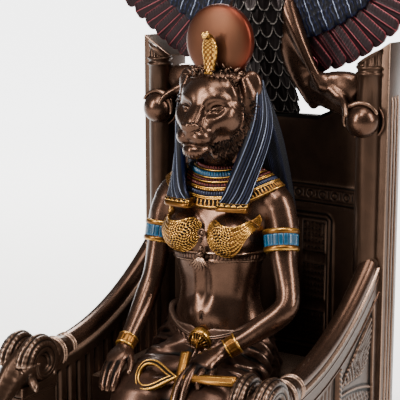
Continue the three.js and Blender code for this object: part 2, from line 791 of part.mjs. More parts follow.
/** The ball in front of a post, in a shallow round socket. */
function orbAndSocket() {
  const orb = ball(millimetres(orbX, orbY, orbZ), [orbRadius, orbRadius, orbRadius], 8, 6);
  const outer = orbRadius + socketRim;
  const profile = [[0, 0], [outer - socketRim / 2, 0], [outer, -socketRim], [outer, socketRim * 2],
    [0, socketRim * 2]];
  const socket = new THREE.LatheGeometry(profile.map(([x, y]) => new THREE.Vector2(x, y)), 8);
  socket.translate(orbX, orbY + orbRadius / 2 - overlap, orbZ);
  return [orb, solid(socket)];
}

function throne() {
  const half = join([
    sidePanel(), sideRelief(), armRoll(), ...armPillar(), ramHead(), post(), ...orbAndSocket(),
  ]);
  return join([...dais(), seat(), backPanel(), half, mirrored(half)])
    .subtract(join(bothSides(wingClearanceCut())));
}

// Falcon

// The falcon is laid out in shares of its wing span, 190 of them from tip to tip
const plume = wingSpan / 190;
const perchY = panelBack - panelThickness / 2 - 1.5;

/** A point of the falcon: across, back and up from where the tail meets the panel. */
function falcon(x, y, z) {
  return new THREE.Vector3(x * plume, perchY + y * plume, panelTop + seam + z * plume);
}
falcon.unit = plume;

const WING_FRONT = -8;

const featherTips = new THREE.CatmullRomCurve3([
  [25, 19.9], [38, 22.4], [50.6, 28.6], [63, 38.4], [75.2, 49.2], [87, 61], [95, 78],
].map(([x, z]) => new THREE.Vector3(x, 0, z)));

const featherRoots = new THREE.CatmullRomCurve3([
  [14, 30], [28, 35], [39, 40.6], [49, 46.6], [57, 55], [64.5, 66], [70, 79],
].map(([x, z]) => new THREE.Vector3(x, 0, z)));

function wingSlab(pairs, front, back) {
  const scaled = pairs.map(([x, z]) => [x * plume, panelTop + seam + z * plume]);
  return frontSlab(outlineOf(scaled), perchY + front * plume, perchY + back * plume);
}

/** Where the wing's lower edge passes over a post, the post is cut back to a slant. */
function wingClearanceCut() {
  const at = (x) => {
    const share = (x / plume - 46) / 16;
    return [x, panelTop - seam + THREE.MathUtils.lerp(23.6, 34.4, share) * plume];
  };
  const [inner, outer] = [postX - 2 * postRadius, sideOuter + 2 * blockMargin];
  const above = panelTop + wingSpan / 2;
  return frontSlab(outlineOf([at(inner), at(outer), [outer, above], [inner, above]]),
    perchY - daisDepth / 4, perchY + daisDepth / 4);
}

/** The outline of one flight feather, from its lower root round the tip. */
function flightFeather(share) {
  const root = featherRoots.getPoint(share);
  const tip = featherTips.getPoint(share);
  const way = tip.clone().sub(root).normalize();
  const across = new THREE.Vector3(-way.z, 0, way.x);
  const length = root.distanceTo(tip);
  const half = 3.5;
  return [[-2, -half], [length - 2.6, -half], [length, 0], [length - 2.6, half], [-2, half]]
    .map(([along, side]) => {
      const point = root.clone().addScaledVector(way, along).addScaledVector(across, side);
      return [point.x, point.z];
    });
}

function wing() {
  const count = 13;
  const feathers = Array.from({ length: count }, (_, i) => flightFeather(i / (count - 1)));
  const edge = feathers.flatMap((pairs) => pairs.slice(1, -1));
  const base = wingSlab([
    [6, 28], [16, 27], ...edge, [88, 90], [78, 93], [58, 94], [30, 84], [6, 68],
  ], WING_FRONT + 0.6, WING_FRONT + wingThickness);
  const raised = feathers.filter((_, i) => i % 2 === 0)
    .map((pairs) => wingSlab(pairs, WING_FRONT, WING_FRONT + 1));
  const coverts = wingSlab([
    [6, 35], [21, 34.4], [37.5, 41.4], [53, 53], [62, 68], [66.5, 88], [45, 87.5], [6, 64],
  ], WING_FRONT - 1.2, WING_FRONT + 1);
  const leadingEdge = limb(falcon, [
    [6, -5.5, 66, 3, 3],
    [26, -6.2, 80, 3, 3],
    [46, -6.6, 90.4, 2.6, 2.6],
    [62, -6.6, 93.6, 2.2, 2.2],
    [80, -6.4, 91, 1.5, 1.5],
  ], 5, FORWARD);
  return join([base, ...raised, coverts, leadingEdge]);
}

/** The body in overlapping rows of scales, down to a flat tail. */
function falconBody() {
  const spine = [
    [0, 0, 14.4, 3, 3],
    [12, -1.6, 12.8, 4.4, 4],
    [23, -4, 12.4, 7, 5.6],
    [35, -6, 13, 9.6, 7.4],
    [48, -8, 13.4, 11.6, 8.4],
    [60, -8.6, 11.6, 11, 8.2],
    [69, -9, 8.4, 8.6, 7],
  ];
  const path = new THREE.CatmullRomCurve3(spine.map(([z, y, w]) => new THREE.Vector3(z, y, w)));
  const depths = new THREE.CatmullRomCurve3(spine.map(([, , , f, b]) => new THREE.Vector3(f, b, 0)));
  const rows = 6;
  const heightAt = (i) => path.getPoint(i / rows).x;
  const sections = [];
  for (let i = 0; i <= rows; i += 1) {
    const place = path.getPoint(i / rows);
    const depth = depths.getPoint(i / rows);
    const lift = i === rows ? 0 : 0.8 * (heightAt(i + 1) - heightAt(i));
    for (const [raise, swell] of lift ? [[0, 1], [lift, 0]] : [[0, 0]]) {
      sections.push([place.x + raise, place.y, place.z + swell, depth.x + swell, depth.y + swell]);
    }
  }
  return trunk(falcon, sections, 8);
}

function falconHead() {
  const head = limb(falcon, [
    [0, -9, 66, 8, 8.4],
    [0, -9.6, 73, 7, 7.6],
    [0, -10.4, 79, 6.9, 7.8],
    [0, -10.8, 84, 5.6, 6.4],
    [0, -10.8, 87.4, 2.4, 3],
  ], 6);
  const beak = limb(falcon, [
    [0, -16, 80.6, 3, 3],
    [0, -19.4, 80, 2.2, 2.4],
    [0, -21.8, 77.8, 1.3, 1.4],
    [0, -22, 75.4, 0.5, 0.5],
  ], 4);
  return [head, beak];
}

/** Thigh, foot and two long toes that reach from the body round the orb. */
function falconLeg() {
  const orb = millimetres(orbX, orbY, orbZ);
  const hip = falcon(9, -7.5, 48);
  const foot = orb.clone().add(millimetres(-21 * plume, 3.9 * plume, 2 * orbRadius));
  const along = (share) => hip.clone().lerp(foot, share)
    .addScaledVector(millimetres(1.2, -1.1, 1.7), plume * Math.sin(Math.PI * share));
  const shin = (stations, sides) => limb(millimetres, stations.map(([share, drop, ...size]) => (
    [...along(share).add(millimetres(0, 0, -drop * plume)), ...size.map((value) => value * plume)])),
  sides, FORWARD);
  const thigh = shin([
    [0, 0, 6, 7], [0.28, 0, 6.4, 6.4], [0.58, 0, 5, 4.6], [0.88, 0, 3, 3.2], [1, 0, 2.4, 2.8],
  ], 6);
  const spur = shin([[0.55, 4, 1.6, 3], [0.75, 10, 1.4, 2.6], [0.9, 17, 0.6, 0.6]], 4);
  const grip = orbRadius + 2 * seam + clawRadius;
  const toe = (from, to) => {
    const [start, end] = [from, to].map((way) => new THREE.Vector3(...way).normalize());
    const stops = [0, 1 / 3, 2 / 3, 1].map((share) => (
      orb.clone().addScaledVector(start.clone().lerp(end, share).normalize(), grip)));
    const spine = new THREE.CatmullRomCurve3([foot, ...stops]);
    const steps = 5;
    return loft(Array.from({ length: steps + 1 }, (_, i) => {
      const share = i / steps;
      const tangent = spine.getTangent(share);
      const across = FORWARD.clone().addScaledVector(tangent, -FORWARD.dot(tangent)).normalize();
      const rise = tangent.clone().cross(across);
      const size = clawRadius * THREE.MathUtils.lerp(1, 0.34, share ** 3);
      return ring(spine.getPoint(share), across, rise, size, size, size, 4);
    }));
  };
  return [
    thigh, spur,
    toe([-0.72, -0.5, 0.5], [0.55, -0.45, 0.7]),
    toe([-0.85, -0.5, 0.1], [-0.6, -0.6, -0.55]),
  ];
}

function falconWhole() {
  const half = join([wing(), ...falconLeg()]);
  return join([falconBody(), ...falconHead(), half, mirrored(half)]);
}

// Assembly

function goddess() {
  return join([
    torso(), ...arms(), ...hands(), ...legs(), ...skirtFolds(), skull(), ...face(),
    ...bothSides(ear()), ruff(), ...wig(), collar(), ...jewellery(), ...discAndCobra(), ...ankh(),
  ]).subtract(seatClearance());
}

const statue = new THREE.Group();
statue.add(
  casting('throne', throne(), 0x2e211b, 0.42, 0.75),
  casting('goddess', goddess(), 0x4a3324, 0.38, 0.8),
  casting('falcon', falconWhole(), 0x2b2228, 0.45, 0.6),
);

export default statue;
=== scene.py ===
"""A seated lioness goddess on a ram-armed throne, with a falcon over its back.

A cast and painted souvenir of bonded bronze. Lengths are in millimetres until a
shell becomes a mesh, +Z is up and the figure faces -Y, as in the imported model.
"""

import logging
import math
from dataclasses import dataclass, field, replace
from enum import Enum
from typing import Callable, Optional, Sequence

import bpy
import numpy as np
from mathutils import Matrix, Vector


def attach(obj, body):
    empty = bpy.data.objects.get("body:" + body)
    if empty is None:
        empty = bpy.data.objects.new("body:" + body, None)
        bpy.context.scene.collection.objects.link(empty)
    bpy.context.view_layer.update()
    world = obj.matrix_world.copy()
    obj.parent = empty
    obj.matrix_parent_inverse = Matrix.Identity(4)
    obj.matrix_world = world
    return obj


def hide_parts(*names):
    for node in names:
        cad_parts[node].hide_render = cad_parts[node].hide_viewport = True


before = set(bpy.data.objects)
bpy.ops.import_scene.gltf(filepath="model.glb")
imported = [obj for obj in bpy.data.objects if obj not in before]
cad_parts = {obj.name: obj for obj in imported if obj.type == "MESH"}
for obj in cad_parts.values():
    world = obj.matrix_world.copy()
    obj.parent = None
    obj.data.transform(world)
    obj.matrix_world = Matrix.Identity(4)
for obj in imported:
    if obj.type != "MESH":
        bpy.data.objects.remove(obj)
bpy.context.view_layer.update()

Array = np.ndarray
Row = Sequence[float]
Rows = Sequence[Row]
Pattern = Callable[[Array, Array], Array]
MM = 0.001
log = logging.getLogger("statue")


class Look(Enum):
    """The finishes of the statue, by the record's material slots."""

    DARK = "dark_bronze"
    BRONZE = "bronze"
    FEATHER = "feather_paint"
    GOLD = "gold_paint"
    COPPER = "copper_paint"
    NAVY = "navy_paint"
    MAROON = "maroon_paint"
    TURQUOISE = "turquoise_paint"


def unit(value: Array) -> Array:
    """Returns the value kept between 0 and 1."""
    return np.clip(value, 0, 1)


def bell(value: Array, middle: Array | float, width: float) -> Array:
    """Returns 1 at the middle, falling off as exp(-((value - middle) / width)^2)."""
    return np.exp(-((value - middle) / width) ** 2)


def turns(count: int) -> Array:
    """Returns a row of count even turns round a circle, from 0 to under 2 pi."""
    return 2 * np.pi * np.arange(count)[None] / count


def shares(count: int) -> Array:
    """Returns a column of count even shares from 0 to 1."""
    return np.linspace(0, 1, count)[:, None]


# Shells: closed surfaces made of points and faces


@dataclass
class Shell:
    """A closed surface.

    Attributes:
        points: One row of x, y, z per point, in millimetres.
        faces: Arrays of point numbers, one array per number of corners.
        marks: One number per point for each named mark, such as where paint goes.
    """

    points: Array
    faces: list[Array]
    marks: dict[str, Array] = field(default_factory=dict)

    def mirrored(self) -> "Shell":
        """Returns the same shell on the other side of the plane x = 0."""
        return Shell(self.points * (-1, 1, 1), [f[:, ::-1] for f in self.faces], dict(self.marks))

    def outward(self) -> "Shell":
        """Returns the shell with its faces turned outwards, by the sign of its volume."""
        volume = 0.0
        for faces in self.faces:
            corner = self.points[faces]
            for k in range(1, faces.shape[1] - 1):
                volume += np.einsum("ij,ij->", corner[:, 0], np.cross(corner[:, k], corner[:, k + 1]))
        return self if volume > 0 else replace(self, faces=[f[:, ::-1] for f in self.faces])

    def marked(self, name: str, value: Array | float) -> "Shell":
        """Returns the shell with one more mark, one number for each point or one for all."""
        value = np.broadcast_to(np.asarray(value, float).ravel(), (len(self.points),))
        return replace(self, marks={**self.marks, name: value})


def merged(shells: Sequence[Shell]) -> Shell:
    """Puts several shells into one, with a mark of 0 where a shell lacks it.

    Args:
        shells: The shells, in any order.

    Returns:
        One shell with all their points and faces.
    """
    starts = np.cumsum([0] + [len(s.points) for s in shells])
    names = sorted({name for s in shells for name in s.marks})
    marks = {n: np.concatenate([s.marks.get(n, np.zeros(len(s.points))) for s in shells]) for n in names}
    faces = [f + start for s, start in zip(shells, starts) for f in s.faces]
    return Shell(np.concatenate([s.points for s in shells]), faces, marks)


def both(shell: Shell) -> Shell:
    """Returns the shell together with its mirror image."""
    return merged([shell, shell.mirrored()])


def skin(number: Array, wrap: bool = True) -> Array:
    """Returns the four-sided faces between rows of point numbers, the columns joined round if wrap."""
    right = np.roll(number, -1, 1) if wrap else number[:, 1:]
    left = number if wrap else number[:, :-1]
    return np.stack([left[:-1], right[:-1], right[1:], left[1:]], -1).reshape(-1, 4)


def border(number: Array) -> Array:
    """Returns the point numbers once round the edge of a grid."""
    return np.concatenate([number[0, :-1], number[:-1, -1], number[-1, :0:-1], number[:0:-1, 0]])


def lattice(points: Array, wrap: bool = True, caps: bool = True,
            marks: Optional[dict[str, Array]] = None) -> Shell:
    """Skins a grid of points, row by row.

    Args:
        points: Rows by columns by 3.
        wrap: Whether the last column joins the first, as round a tube.
        caps: Whether a fan round its middle closes the first and the last row.
        marks: One grid of numbers, rows by columns, for each mark.

    Returns:
        The shell, turned outwards.
    """
    rows, columns = points.shape[:2]
    number = np.arange(rows * columns).reshape(rows, columns)
    flat = points.reshape(-1, 3)
    faces = [skin(number, wrap)]
    values = {n: np.broadcast_to(v, (rows, columns)).astype(float).ravel() for n, v in (marks or {}).items()}
    if caps:
        ends = np.stack([points[0].mean(0), points[-1].mean(0)])
        middle = len(flat)
        flat = np.concatenate([flat, ends])
        ahead = np.roll(number, -1, 1)
        first = np.stack([ahead[0], number[0], np.full_like(number[0], middle)], -1)
        last = np.stack([number[-1], ahead[-1], np.full_like(number[-1], middle + 1)], -1)
        faces.append(np.concatenate([first, last]))
        for n, v in values.items():
            grid = v.reshape(rows, columns)
            values[n] = np.concatenate([v, [grid[0].mean(), grid[-1].mean()]])
    return Shell(flat, faces, values).outward()


def looped(rows: Array) -> Shell:
    """Returns the shell of a grid of points, rows by columns by 3, that closes on itself both ways."""
    number = np.arange(rows.shape[0] * rows.shape[1]).reshape(rows.shape[:2])
    return Shell(rows.reshape(-1, 3), [skin(np.concatenate([number, number[:1]]))]).outward()


def plate(front: Array, back: Array, marks: Optional[dict[str, Array]] = None) -> Shell:
    """Closes two grids of the same size into a plate with four edges.

    Args:
        front: Rows by columns by 3, the worked face.
        back: The same number of points behind it.
        marks: One grid of numbers for each mark on the front. The back takes 0.

    Returns:
        The shell, turned outwards.
    """
    rows, columns = front.shape[:2]
    count = rows * columns
    number = np.arange(count).reshape(rows, columns)
    rim = border(number)
    after = np.roll(rim, -1)
    edge = np.stack([after, rim, rim + count, after + count], -1)
    faces = [skin(number, False), skin(number, False)[:, ::-1] + count, edge]
    values = {n: np.concatenate([np.broadcast_to(v, (rows, columns)).ravel(), np.zeros(count)])
              for n, v in (marks or {}).items()}
    return Shell(np.concatenate([front.reshape(-1, 3), back.reshape(-1, 3)]), faces, values).outward()


def prism(outline: Array, steps: Sequence[tuple[float, float]], to: Callable[[Array, float], Array]) -> Shell:
    """Stacks copies of an outline, each grown by its own amount, and closes both ends flat.

    Args:
        outline: Corner points, n by 2, once round.
        steps: Pairs of how far the outline grows and its height.
        to: Turns the outline's points and a height into points in space.

    Returns:
        The shell, turned outwards.
    """
    ahead, behind = np.roll(outline, -1, 0) - outline, outline - np.roll(outline, 1, 0)
    area = np.sum(outline[:, 0] * np.roll(outline[:, 1], -1) - outline[:, 1] * np.roll(outline[:, 0], -1))
    ways = [v / np.maximum(np.linalg.norm(v, axis=1, keepdims=True), 1e-9) for v in (ahead, behind)]
    normal = [np.stack([u[:, 1], -u[:, 0]], 1) * np.sign(area) for u in ways]
    bisector = normal[0] + normal[1]
    bisector /= np.maximum((bisector * bisector).sum(1, keepdims=True) / 2, 0.25)
    rows = np.stack([to(outline + grow * bisector, height) for grow, height in steps])
    number = np.arange(rows.shape[0] * rows.shape[1]).reshape(rows.shape[:2])
    return Shell(rows.reshape(-1, 3), [skin(number), number[:1, ::-1], number[-1:]]).outward()


def rounded_box(low: Row, high: Row, radius: float, steps: int = 3) -> Shell:
    """A box with rounded upright edges and softened rims.

    Its outline is a rectangle with quarter circles at its corners, and near both
    ends it draws in along a quarter circle of the same radius.

    Args:
        low: Lowest corner.
        high: Highest corner.
        radius: Radius of every rounded edge.
        steps: Faces in a quarter circle.

    Returns:
        The shell.
    """
    turn = np.linspace(0, np.pi / 2, steps + 1)
    half = np.array([(high[0] - low[0]) / 2, (high[1] - low[1]) / 2])
    outline = np.concatenate([
        np.stack([sx * (half[0] - radius), sy * (half[1] - radius)]) + radius * np.stack(
            [np.cos(turn + start), np.sin(turn + start)], 1)
        for sx, sy, start in ((1, 1, 0), (-1, 1, np.pi / 2), (-1, -1, np.pi), (1, -1, 1.5 * np.pi))])
    bow = [(radius * (math.cos(t) - 1), radius * (1 - math.sin(t))) for t in turn]
    levels = [(g, low[2] + h) for g, h in reversed(bow)] + [(g, high[2] - h) for g, h in bow]
    centre = (np.array(low[:2]) + np.array(high[:2])) / 2
    return prism(outline, levels, lambda p, z: np.column_stack([p + centre, np.full(len(p), z)]))


# Curves and what is carried along them


def spline(points: Rows, count: int) -> Array:
    """Passes a smooth curve through points (Catmull-Rom, even in the parameter).

    Args:
        points: Rows of any number of values.
        count: How many points come out.

    Returns:
        An array of count rows.
    """
    p = np.asarray(points, float)
    p = np.concatenate([[2 * p[0] - p[1]], p, [2 * p[-1] - p[-2]]])
    t = np.linspace(0, len(p) - 3, count)
    i = np.minimum(t.astype(int), len(p) - 4)
    f = (t - i)[:, None]
    a, b, c, d = p[i], p[i + 1], p[i + 2], p[i + 3]
    return 0.5 * (2 * b + (c - a) * f + (2 * a - 5 * b + 4 * c - d) * f**2 + (3 * b - a - 3 * c + d) * f**3)


def frames(path: Array, reference: Row = (1, 0, 0)) -> tuple[Array, Array, Array]:
    """Works out the tangent, side and rise of a path.

    Args:
        path: Points, n by 3.
        reference: The direction that the side stays closest to.

    Returns:
        Three arrays of unit vectors, n by 3.
    """
    tangent = np.gradient(path, axis=0)
    tangent /= np.linalg.norm(tangent, axis=1, keepdims=True)
    ref = np.asarray(reference, float)
    side = ref - (tangent @ ref)[:, None] * tangent
    side /= np.linalg.norm(side, axis=1, keepdims=True)
    return tangent, side, np.cross(tangent, side)


def sweep(path: Array, section: Array, size: Array | float = 1.0,
          reference: Row = (1, 0, 0), wrap: bool = False) -> Shell:
    """Carries a closed section along a path.

    Args:
        path: Points, n by 3.
        section: Corners, k by 2, along the side and the rise.
        size: One scale, or one or two per point of the path.
        reference: The direction that the section's first axis stays closest to.
        wrap: Whether the path closes on itself.

    Returns:
        The shell.
    """
    if wrap:
        padded = np.concatenate([path[-2:], path, path[:2]])
        side, rise = [v[2:-2] for v in frames(padded, reference)[1:]]
    else:
        side, rise = frames(path, reference)[1:]
    scale = np.asarray(size, float)
    scale = np.broadcast_to(scale.reshape(-1, 1) if scale.ndim < 2 else scale, (len(path), 2))
    rows = path[:, None] + side[:, None] * (section[None, :, :1] * scale[:, None, :1]) \
        + rise[:, None] * (section[None, :, 1:] * scale[:, None, 1:])
    return looped(rows) if wrap else lattice(rows)


def circle(sides: int, power: float = 2.0) -> Array:
    """Returns a circle of radius 1, squared off by power above 2."""
    turn = 2 * np.pi * (np.arange(sides) + 0.5) / sides
    bend = lambda v: np.sign(v) * np.abs(v) ** (2 / power)
    return np.stack([bend(np.cos(turn)), bend(np.sin(turn))], 1)


def globe(centre: Row, radii: Row, sides: int = 24, rows: int = 16) -> Shell:
    """Returns an ellipsoid by latitude and longitude."""
    tilt = np.linspace(-np.pi / 2, np.pi / 2, rows + 1)[1:-1, None]
    turn = turns(sides)
    ball = np.stack(np.broadcast_arrays(np.cos(tilt) * np.cos(turn), np.cos(tilt) * np.sin(turn),
                                        np.sin(tilt)), -1)
    shell = lattice(ball * radii + np.asarray(centre, float))
    shell.points[-2:] = np.asarray(centre, float) + np.array([[0, 0, -radii[2]], [0, 0, radii[2]]])
    return shell


def turned(profile: Rows, centre: Row, axis: Row,
           sides: int = 48, closed: bool = False) -> Shell:
    """Turns a profile about an axis.

    Args:
        profile: Rows of radius and height along the axis.
        centre: A point on the axis, at height 0.
        axis: The axis's direction.
        sides: Faces round the axis.
        closed: Whether the profile is a closed loop, as a ring's is.

    Returns:
        The shell.
    """
    rows = np.asarray(profile, float)
    up = np.asarray(axis, float) / np.linalg.norm(axis)
    helper = np.array([1.0, 0, 0]) if abs(up[0]) < 0.9 else np.array([0, 1.0, 0])
    side = np.cross(up, helper)
    side /= np.linalg.norm(side)
    other = np.cross(up, side)
    turn = 2 * np.pi * np.arange(sides) / sides
    around = np.cos(turn)[:, None] * side + np.sin(turn)[:, None] * other
    points = np.asarray(centre, float) + rows[:, None, :1] * around[None] + rows[:, None, 1:] * up
    return looped(points) if closed else lattice(points)


def locks(roots: Array, ways: Array, bends: Array, lengths: Array, widths: Array,
          rings: int = 5, sides: int = 5, flat: float = 0.6) -> Shell:
    """Lays many tapered, bent locks of hair or fur at once.

    A lock's middle line leaves its root along its way and is pulled aside by its
    bend with the square of the distance. Its width swells, then runs out to a point.

    Args:
        roots: Root points, n by 3.
        ways: Directions, n by 3.
        bends: Sideways pulls over the whole length, n by 3.
        lengths: Lengths, n.
        widths: Half widths, n.
        rings: Rings along a lock.
        sides: Sides round a lock.
        flat: Thickness as a share of the width.

    Returns:
        One shell with all the locks.
    """
    t = np.linspace(0, 1, rings)[None, :, None]
    way = ways / np.linalg.norm(ways, axis=1, keepdims=True)
    line = roots[:, None] + way[:, None] * t * lengths[:, None, None] + bends[:, None] * t**2
    tangent = way[:, None] * lengths[:, None, None] + 2 * bends[:, None] * t
    tangent /= np.linalg.norm(tangent, axis=2, keepdims=True)
    side = np.cross(tangent, np.array([0.31, -0.9, 0.3]))
    side /= np.linalg.norm(side, axis=2, keepdims=True)
    rise = np.cross(side, tangent)
    swell = np.array([0.75, 1.0, 0.86, 0.55, 0.12]) if rings == 5 else np.interp(
        np.linspace(0, 1, rings), [0, 0.3, 0.7, 1], [0.7, 1, 0.7, 0.1])
    section = circle(sides)
    reach = widths[:, None, None, None] * swell[None, :, None, None]
    grid = line[:, :, None] + side[:, :, None] * section[:, :1] * reach + rise[:, :, None] * section[:, 1:] * reach * flat
    count, ring = len(roots), rings * sides
    number = np.arange(ring).reshape(rings, sides)
    quads = skin(number)
    start = (np.arange(count) * ring)[:, None, None]
    ends = np.stack([number[0, ::-1], number[-1]])
    faces = [(quads[None] + start).reshape(-1, 4), (ends[None] + start).reshape(-1, sides)]
    marks = {"tip": np.broadcast_to(np.linspace(0, 1, rings)[None, :, None], (count, rings, sides)).ravel()}
    return Shell(grid.reshape(-1, 3), faces, marks).outward()


# Clay: rounded forms that melt into each other, as distances on an even grid


class Clay:
    """A block of modelling clay: distances to its surface in millimetres, below 0 inside.

    Attributes:
        low: Lowest corner of the grid.
        step: Distance between grid points.
        depth: The distances, one per grid point.
    """

    FAR = 9.0

    def __init__(self, low: Row, high: Row, step: float) -> None:
        """Starts with an empty block.

        Args:
            low: Lowest corner.
            high: Highest corner.
            step: Distance between grid points.
        """
        self.low, self.step = np.asarray(low, float), step
        self.axes = [np.arange(a, b + step, step, dtype=np.float32) for a, b in zip(low, high)]
        self.depth = np.full([len(a) for a in self.axes], self.FAR, np.float32)

    def near(self, low: Array, high: Array) -> tuple[tuple[slice, ...], Array, Array, Array]:
        """Picks the grid points in a box.

        Args:
            low: Lowest corner of the box.
            high: Its highest corner.

        Returns:
            The slices, and the x, y and z of the points, ready to combine.
        """
        cut = tuple(slice(max(0, int((a - o) / self.step)), max(1, int((b - o) / self.step) + 2))
                    for a, b, o in zip(low, high, self.low))
        x, y, z = (axis[c] for axis, c in zip(self.axes, cut))
        return cut, x[:, None, None], y[None, :, None], z[None, None, :]

    def blend(self, cut: tuple[slice, ...], new: Array, soft: float, carve: bool = False) -> None:
        """Adds a form, or carves it away, with a rounded joint.

        Two distances a and b give min(a, b) - h^2 / (4 soft), h being how far soft
        exceeds their difference, so the joint is a fillet about soft wide.

        Args:
            cut: The grid points it reaches.
            new: Their distances to the form.
            soft: Width of the fillet.
            carve: Whether the form is taken away.
        """
        old = -self.depth[cut] if carve else self.depth[cut]
        overlap = np.maximum(soft - np.abs(old - new), 0)
        best = np.minimum(old, new) - overlap**2 / (4 * max(soft, 1e-6))
        self.depth[cut] = -best if carve else best

    def egg(self, centre: Row, radii: Row, soft: float = 1.0,
            carve: bool = False, pair: bool = False, turn: Row = (0, 0, 0)) -> None:
        """Adds or carves an ellipsoid.

        Args:
            centre: Its centre.
            radii: Its half sizes.
            soft: Width of the fillet.
            carve: Whether it is taken away.
            pair: Whether its mirror image comes too.
            turn: Its turn about x, y and z in degrees, in that order.
        """
        reach = np.full(3, max(radii)) + soft + 2 * self.step
        middle, r = np.asarray(centre, float), np.asarray(radii, float)
        cut, x, y, z = self.near(middle - reach, middle + reach)
        local = np.stack(np.broadcast_arrays(x - middle[0], y - middle[1], z - middle[2]), -1)
        if any(turn):
            local = local @ turn_matrix(turn).astype(np.float32)
        k0 = np.sqrt(((local / r) ** 2).sum(-1))
        k1 = np.sqrt(((local / r**2) ** 2).sum(-1)) + 1e-9
        self.blend(cut, k0 * (k0 - 1) / k1, soft, carve)
        if pair:
            self.egg((-middle[0], middle[1], middle[2]), radii, soft, carve,
                     turn=(turn[0], -turn[1], -turn[2]))

    def worm(self, rows: Rows, soft: float = 1.0, carve: bool = False,
             pair: bool = False, squash: Row = (1, 1, 1), pieces: int = 0) -> None:
        """Adds or carves a limb: a smooth line of balls that change in radius.

        Args:
            rows: Stations of x, y, z and radius.
            soft: Width of the fillet.
            carve: Whether it is taken away.
            pair: Whether its mirror image comes too.
            squash: Shares of the radius along x, y and z.
            pieces: Straight pieces of the line. 0 gives three for each station.
        """
        line = spline(rows, pieces + 1 if pieces else 3 * (len(rows) - 1) + 1)
        shape = np.asarray(squash, float)
        middle, radius = line[:, :3], np.maximum(line[:, 3], 0.02)
        reach = radius.max() * shape.max() + soft + 2 * self.step
        cut, x, y, z = self.near(middle.min(0) - reach, middle.max(0) + reach)
        new = np.full((x.size, y.size, z.size), self.FAR, np.float32)
        for a, b, ra, rb in zip(middle[:-1], middle[1:], radius[:-1], radius[1:]):
            px, py, pz = (((v - a[k]) / shape[k]).astype(np.float32) for k, v in enumerate((x, y, z)))
            d = (b - a) / shape
            share = unit((px * d[0] + py * d[1] + pz * d[2]) / max(d @ d, 1e-9))
            away = np.sqrt((px - share * d[0]) ** 2 + (py - share * d[1]) ** 2 + (pz - share * d[2]) ** 2)
            new = np.minimum(new, (away - (ra + (rb - ra) * share)) * shape.min())
        self.blend(cut, new, soft, carve)
        if pair:
            self.worm([(-r[0], *r[1:]) for r in rows], soft, carve, squash=squash, pieces=pieces)

    def trunk(self, rows: Rows, soft: float = 1.0, power: float = 2.0) -> None:
        """Adds a body of level ellipses whose sizes run smoothly with height.

        Args:
            rows: Height, middle, half width, reach to the front and to the back.
            soft: Width of the fillet.
            power: 2 for ellipses, more for squarer ones.
        """
        table = spline(sorted(rows), 60)
        reach = table[:, 2:].max() + soft + 2
        cut, x, y, z = self.near(np.array([-reach, table[:, 1].min() - reach, table[0, 0]]),
                                 np.array([reach, table[:, 1].max() + reach, table[-1, 0]]))
        middle, width, front, back = (np.interp(z, table[:, 0], table[:, k]).astype(np.float32) for k in (1, 2, 3, 4))
        depth = np.where(y < middle, front, back)
        ratio = (np.abs(x / width) ** power + np.abs((y - middle) / depth) ** power) ** (1 / power)
        slope = np.sqrt((np.abs(x) / width**2) ** 2
                        + (np.abs(y - middle) / depth**2) ** 2) / np.maximum(ratio, 0.05)
        new = (ratio - 1) / np.maximum(slope, 0.02)
        new = np.maximum(new, np.maximum(table[0, 0] - z, z - table[-1, 0]))
        self.blend(cut, new.astype(np.float32), soft)

    def raise_by(self, low: Row, high: Row,
                 amount: Callable[[Array, Array, Array], Array]) -> None:
        """Lifts the surface by an amount worked out from x, y and z in a box."""
        cut, x, y, z = self.near(np.asarray(low, float), np.asarray(high, float))
        self.depth[cut] -= amount(x, y, z).astype(np.float32)

    def cut_box(self, low: Row, high: Row) -> None:
        """Cuts a sharp box away."""
        cut, x, y, z = self.near(np.asarray(low, float) - 2, np.asarray(high, float) + 2)
        inside = np.maximum(np.maximum(low[0] - x, x - high[0]),
                            np.maximum(np.maximum(low[1] - y, y - high[1]),
                                       np.maximum(low[2] - z, z - high[2])))
        self.depth[cut] = np.maximum(self.depth[cut], -inside)

    def sample(self, points: Array) -> Array:
        """Returns the distances at any points, in straight steps between grid points."""
        at = np.clip((points - self.low) / self.step, 0, np.array(self.depth.shape) - 1.001)
        i = at.astype(int)
        f = at - i
        total = np.zeros(len(points))
        for corner in np.ndindex(2, 2, 2):
            c = np.array(corner)
            weight = np.prod(np.where(c, f, 1 - f), axis=1)
            total += weight * self.depth[tuple((i + c).T)]
        return total

    def cast(self, start: Array, way: Array, rounds: int = 36) -> Array:
        """Moves points straight along their ways until they meet the surface.

        In each round a point goes on by 0.8 of its distance from the surface.

        Args:
            start: Points outside the clay, in any arrangement, by 3.
            way: Unit directions, of the same arrangement or one for all.
            rounds: How many times they move.

        Returns:
            The points on the surface, arranged as they came.
        """
        points = start.reshape(-1, 3).astype(float)
        ways = np.broadcast_to(way, start.shape).reshape(-1, 3)
        for _ in range(rounds):
            points = points + 0.8 * self.sample(points)[:, None] * ways
        return points.reshape(start.shape)

    def normal(self, points: Array) -> Array:
        """Returns the unit slope of the distances at points, which leads outwards."""
        flat = points.reshape(-1, 3)
        slope = np.stack([self.sample(flat + self.step * e) - self.sample(flat - self.step * e)
                          for e in np.eye(3)], 1)
        return (slope / np.maximum(np.linalg.norm(slope, axis=1, keepdims=True), 1e-6)).reshape(points.shape)

